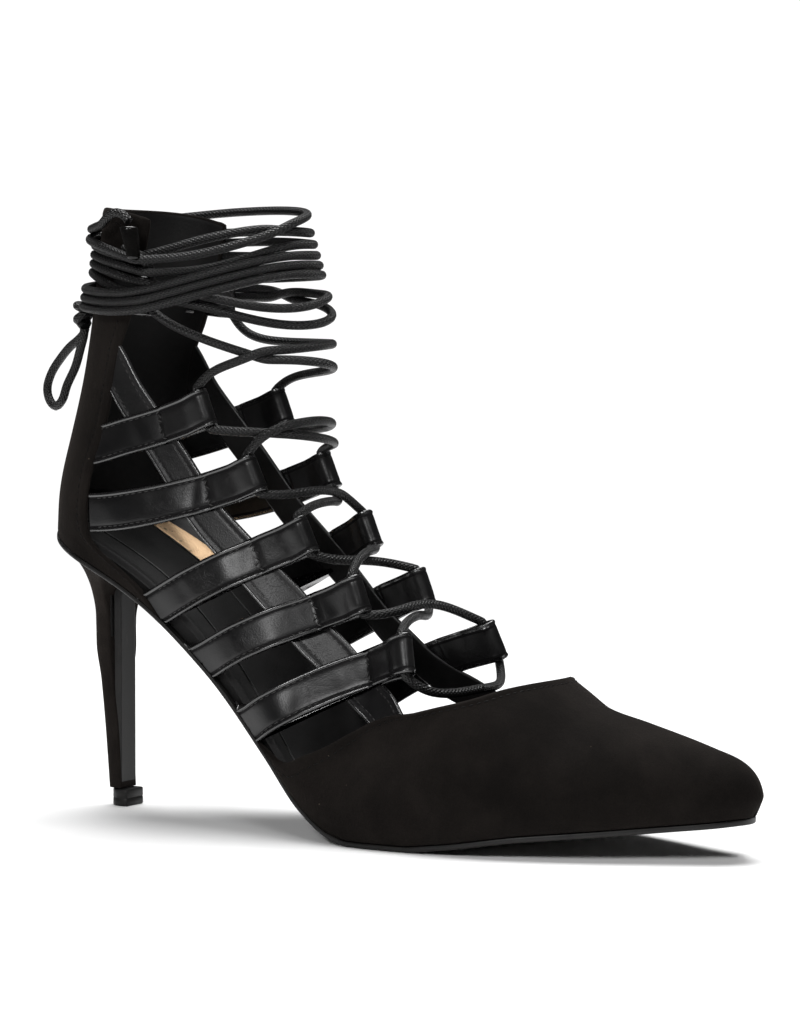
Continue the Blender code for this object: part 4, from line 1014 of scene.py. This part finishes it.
# runs in front of the foot; the number is the loop a run leaves, the word the side it leaves from
frontRuns = {
    (5, "outer"): ((115.5, -20.5, 63.5), (114.0, -13.0, 65.5), (110.5, 0.0, 66.0), (106.0, 12.0, 64.0)),
    (4, "inner"): ((91.5, 17.0, 79.5), (90.5, 11.0, 80.5), (89.5, 2.0, 81.5), (88.0, -9.0, 82.0), (86.0, -16.0, 82.3)),
    (3, "outer"): ((79.0, -16.5, 98.0), (79.0, -11.0, 99.0), (78.5, -2.0, 99.5), (75.5, 9.0, 99.3), (70.0, 18.0, 99.2)),
    (2, "inner"): ((60.5, 21.5, 115.0), (68.0, 16.5, 116.0), (75.0, 8.0, 117.0), (78.5, -1.0, 118.5),
                   (77.0, -9.0, 119.5), (72.0, -15.5, 120.5), (64.0, -19.8, 120.8), (54.0, -21.8, 121.0)),
    (1, "outer"): ((44.5, -22.5, 137.3), (50.0, -23.0, 139.8), (56.0, -23.0, 141.5), (63.0, -21.8, 143.5),
                   (70.5, -17.8, 145.3), (76.0, -11.0, 146.5), (78.0, -1.5, 147.3), (74.5, 8.5, 147.8), (66.5, 15.5, 148.0),
                   (56.0, 20.0, 148.3), (46.0, 22.2, 148.6), (36.0, 22.8, 149.4), (29.0, 22.4, 152.0)),
    (5, "inner"): ((117.0, 23.0, 63.0), (115.0, 18.0, 65.0), (113.0, 10.0, 68.0), (111.5, 0.0, 69.5),
                   (110.5, -9.0, 68.5), (107.5, -16.0, 66.3), (104.0, -18.8, 65.6)),
    (4, "outer"): ((96.5, -17.5, 80.5), (94.5, -9.5, 83.0), (90.5, 2.0, 84.5), (86.5, 12.0, 83.8)),
    (3, "inner"): ((76.5, 18.0, 97.0), (75.5, 13.0, 100.0), (75.5, 4.5, 102.6), (76.5, -6.0, 103.0), (75.0, -13.0, 102.3),
                   (71.0, -18.5, 101.3)),
    (2, "outer"): ((61.8, -21.4, 115.5), (64.0, -21.0, 119.0), (70.5, -18.3, 122.2), (75.5, -11.8, 124.0),
                   (77.0, -3.0, 124.5), (75.0, 7.0, 123.5), (69.0, 14.5, 122.0), (60.5, 19.5, 120.8), (53.0, 21.6, 120.6)),
    (1, "inner"): ((44.5, 22.0, 135.5), (49.0, 20.8, 137.0), (55.0, 18.2, 138.0), (62.5, 14.5, 138.8), (72.5, 8.0, 139.5),
                   (80.0, 0.5, 140.6), (82.0, -5.5, 141.6), (79.5, -12.0, 142.5), (73.5, -17.8, 143.0), (67.5, -20.3, 143.6),
                   (61.0, -21.2, 144.6), (54.5, -22.3, 146.7), (48.0, -22.9, 148.7), (41.0, -23.2, 151.0),
                   (34.0, -23.0, 153.8), (28.5, -22.4, 156.2)),
}


def laceHalf(side):
    bar = [(131.0, 0.0, 44.4), (129.4, 14.0 * side, 44.0), (125.0, 24.5 * side, 45.2)]
    route = list(bar)
    for hole in (5, 4, 3, 2, 1, 0):
        route += through(hole, side)
        if hole == 0:
            break
        route += frontRuns[hole, "outer" if side < 0 else "inner"]
        side = -side
    x, y, z = route[-1]
    route += [(x + 0.6, y * 1.06, z + 3.0), (x - 2.0, y * 1.10, z + 5.6), (x - 9.0, y * 1.08, z + 6.6)]
    return route


wraps = {"step": 1.5, "stand": 1.6, "layer": 2.9}
# the turns from the lowest at the front to the highest: height at each angle round the ankle, and its layer
# angles start at the front and pass the inner side first, so 270 is the outer side
wrapAngles = (211, 250, 270, 285, 300, 315, 330, 345, 370, 428)
wrapHeights = ((172.0, 166.5, 163.5, 161.5, 158.5, 155.0, 153.0, 153.0, 156.0, 164.5),
               (174.2, 171.0, 167.5, 165.0, 162.0, 159.0, 158.0, 159.0, 162.5, 163.6),
               (160.5, 158.5, 157.8, 160.0, 163.5, 166.5, 169.0, 169.3, 169.0, 168.6),
               (162.8, 160.8, 160.0, 163.0, 166.3, 169.3, 171.3, 172.0, 172.0, 171.6),
               (165.5, 163.8, 162.8, 165.3, 168.8, 171.8, 174.2, 175.0, 175.0, 175.8),
               (176.0, 173.8, 171.3, 169.5, 170.5, 173.5, 176.6, 178.5, 178.2, 180.4),
               (178.2, 175.8, 173.8, 176.6, 180.0, 181.8, 183.2, 183.0, 181.8, 183.6),
               (181.0, 178.2, 174.5, 173.6, 175.2, 178.0, 181.0, 183.8, 187.2, 190.2))
wrapLayers = (0, 0, 1, 1, 1, 0, 0, 1)


def wrapFoot(z, angle, out):  # where a turn lies, seen from above; angle 0 is the front, 90 the inner side
    clear = counter["wall"] + wraps["stand"] + out
    half = last["ankle"] / 2 + clear
    back = float(backX(z)) - clear
    middle = float(backX(z)) + last["seatRadius"]
    front = 78.5 - 9.7 * min(1.0, max(0.0, (z - 158.0) / 28.0)) + out * 0.4
    reach = (front - middle) if math.cos(angle) > 0 else (middle - back)
    return middle + reach * math.cos(angle), half * math.sin(angle)


def wrapLine():
    keys, heights = [150.0], [172.6]
    for number, row in enumerate(wrapHeights):
        keys += [number * 360.0 + angle for angle in wrapAngles]
        heights += row
    keys += [keys[-1] + 72.0, keys[-1] + 106.0]
    heights += [187.8, 185.6]
    keys, heights = np.array(keys), np.array(heights)
    angles = np.linspace(keys[0], keys[-1], int((keys[-1] - keys[0]) / 3.0) + 1)
    z = fair(keys, heights, angles)
    points = []
    for angle, height in zip(angles, z):
        number = min(max(int((angle - 180.0) // 360.0), 0), len(wrapLayers) - 1)
        over = ease(1.0 - (abs((angle - 180.0) % 360.0 - 85.0) - 45.0) / 40.0)
        x, y = wrapFoot(height, math.radians(angle), wraps["layer"] * wrapLayers[number] * over)
        points.append((x, y, height))
    return np.array(points)


def settle(lines, fixed, width, rounds=60):  # moves cords apart where they would lie in each other
    points = np.concatenate(lines)
    line = np.concatenate([np.full(len(l), i) for i, l in enumerate(lines)])
    order = np.concatenate([np.arange(len(l)) for l in lines])
    free = 1.0 - np.concatenate(fixed)
    start = points.copy()
    for _ in range(rounds):
        difference = points[:, None] - points[None, :]
        distance = np.linalg.norm(difference, axis=2)
        near = (distance < width) & ~((line[:, None] == line[None, :]) & (np.abs(order[:, None] - order[None, :]) < 8))
        push = np.where(near, (width - distance) / np.maximum(distance, 0.05), 0.0)
        move = (difference * push[..., None]).sum(axis=1) / np.maximum(near.sum(axis=1), 1)[:, None]
        points = points + move * 0.5 * free[:, None]
        inner = np.array([lastHalfClear(p) for p in points])
        points[:, :2] += inner * free[:, None]
        smooth = points.copy()
        same = (line[1:-1] == line[:-2]) & (line[1:-1] == line[2:])
        smooth[1:-1][same] += 0.25 * (points[:-2] + points[2:] - 2 * points[1:-1])[same]
        points = points + (smooth - points) * free[:, None] * 0.6
    cuts = np.cumsum([len(l) for l in lines])[:-1]
    print("cords moved at most", round(float(np.abs(points - start).max()), 2), "mm")
    return np.split(points, cuts)


def lastHalfClear(point):  # how far a cord point has to go outward to lie on the counter
    x, y, z = point
    if z < 150.0:
        return (0.0, 0.0)
    middle = float(backX(z)) + last["seatRadius"]
    clear = counter["wall"] + lace["width"] / 2 + 0.15
    if x < middle:
        reach = math.hypot((x - middle) / (last["seatRadius"] + clear), y / (last["ankle"] / 2 + clear))
        grow = max(0.0, 1.0 - reach)
        return ((x - middle) * grow, y * grow)
    if x < place(0.175) + 2.0:
        need = last["ankle"] / 2 + clear - abs(y)
        return (0.0, math.copysign(max(0.0, need), y))
    return (0.0, 0.0)


halfLines = [smoothCurve(laceHalf(side), lace["step"]) for side in (outerSide, innerSide)]
ring = wrapLine()
length = np.concatenate([[0.0], np.cumsum(np.linalg.norm(np.diff(ring, axis=0), axis=1))])
marks = np.linspace(0.0, length[-1], int(length[-1] / wraps["step"]) + 1)
ring = np.stack([np.interp(marks, length, ring[:, i]) for i in range(3)], axis=1)


def heldAt(line):  # points inside the loops stay where they are
    held = np.zeros(len(line))
    for low, high in holeRows:
        for side in (-1.0, 1.0):
            a, b = np.array(low) * (1, side, 1), np.array(high) * (1, side, 1)
            t = np.clip(((line - a) @ (b - a)) / np.dot(b - a, b - a), 0.0, 1.0)
            d = np.linalg.norm(line - (a + t[:, None] * (b - a)), axis=1)
            held = np.maximum(held, (d < 1.2).astype(float))
    held[:3] = 1.0
    return held


settled = settle([halfLines[0], halfLines[1], ring], [heldAt(halfLines[0]), heldAt(halfLines[1]), np.zeros(len(ring))],
                 lace["width"] * 1.0)
laceNodes = ("lace_crossing_low", "lace_crossing_middle", "lace_crossing_high", "lace_turn_low", "lace_turn_high", "lace_bar")
for name, line in zip(("laceOuter", "laceInner"), settled):
    piece = cordTube(name, line, lace["width"], laceLook, 14)
    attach(piece, "root")
    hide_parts(*laceNodes)
wrapPiece = cordTube("laceWraps", settled[2], lace["width"], laceLook, 12)
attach(wrapPiece, "root")
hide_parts("lace_wraps")
print("lace made")

# knot under the wraps: the loop's legs come up into two tight turns round each other
knot = {"place": (-7.2, -11.9, 157.6), "beside": 2.3, "out": 1.9, "tall": 2.6, "turns": 2.25, "steps": 30}
outWay = np.array([-math.cos(turn), -math.sin(turn), 0.0])
besideWay = np.array([outWay[1], -outWay[0], 0.0])
knotRoute = [np.array(hangingLoop[-1]) + (0.0, 0.0, 0.3)]
for k in range(knot["steps"]):
    t = k / (knot["steps"] - 1)
    angle = 2 * math.pi * knot["turns"] * t + 0.8
    swing = outWay * (knot["out"] * math.cos(angle)) + besideWay * (knot["beside"] * math.sin(angle))
    knotRoute.append(np.array(knot["place"]) + swing + (0.0, 0.0, knot["tall"] * math.sin(2 * math.pi * t + 0.4 - math.pi / 2)))
knotRoute.append(np.array(hangingLoop[0]) + (0.0, 0.0, 0.3))
knotPiece = cordTube("laceKnot", smoothCurve(knotRoute, 0.9), lace["width"] * 0.95, laceLook, 14)
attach(knotPiece, "root")
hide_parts("lace_knot")
print("knot made")

# floor and soft light
floorMesh = bpy.data.meshes.new("floor")
reach = 0.75
floorMesh.from_pydata([(0.1 + reach * math.cos(a), reach * math.sin(a), 0.0) for a in np.linspace(0, 2 * math.pi, 96, endpoint=False)],
                      [], [tuple(range(96))])
floor = bpy.data.objects.new("floor", floorMesh)
bpy.context.scene.collection.objects.link(floor)
floorShader = Shader("paleFloor")
floorShader.put("Base Color", (0.92, 0.92, 0.92, 1))
floorShader.put("Roughness", 0.9)
floorShader.put("Specular IOR Level", 0.1)
floorMesh.materials.append(floorShader.material)

# soft boxes: place, size in metres, power; each looks at the shoe
lights = {"leftBox": ((0.14, -1.32, 0.83), 0.34, 9.0), "frontBox": ((1.2, -1.2, 1.5), 0.6, 9.0),
          "rearBox": ((0.5, 1.0, 2.2), 0.8, 12.0)}
for name, (spot, size, power) in lights.items():
    data = bpy.data.lights.new(name, "AREA")
    data.shape = "SQUARE"
    data.size = size
    data.energy = power
    lamp = bpy.data.objects.new(name, data)
    bpy.context.scene.collection.objects.link(lamp)
    toward = Vector(spot) - Vector((0.09, 0.0, 0.08))
    lamp.matrix_world = Matrix.Translation(spot) @ toward.to_track_quat("Z", "Y").to_matrix().to_4x4()
overhead = bpy.data.lights.new("overhead", "SUN")
overhead.energy = 3.6
overhead.angle = math.radians(38.0)
overheadLamp = bpy.data.objects.new("overhead", overhead)
bpy.context.scene.collection.objects.link(overheadLamp)
overheadLamp.matrix_world = Vector((-0.15, 0.25, 1.0)).to_track_quat("Z", "Y").to_matrix().to_4x4()
world = bpy.data.worlds.new("studio")
world.use_nodes = True
tree = world.node_tree
fill = tree.nodes["Background"]
fill.inputs[0].default_value = (1.0, 1.0, 1.0, 1.0)
fill.inputs[1].default_value = 0.07
sweep = tree.nodes.new("ShaderNodeBackground")
sweep.inputs[0].default_value = (1.0, 1.0, 1.0, 1.0)
sweep.inputs[1].default_value = 1.05
seen = tree.nodes.new("ShaderNodeLightPath")
blend = tree.nodes.new("ShaderNodeMixShader")
tree.links.new(seen.outputs["Is Camera Ray"], blend.inputs[0])
tree.links.new(fill.outputs[0], blend.inputs[1])
tree.links.new(sweep.outputs[0], blend.inputs[2])
tree.links.new(blend.outputs[0], tree.nodes["World Output"].inputs[0])
bpy.context.scene.world = world
bpy.context.scene.view_settings.view_transform = "Standard"
print("stage set")
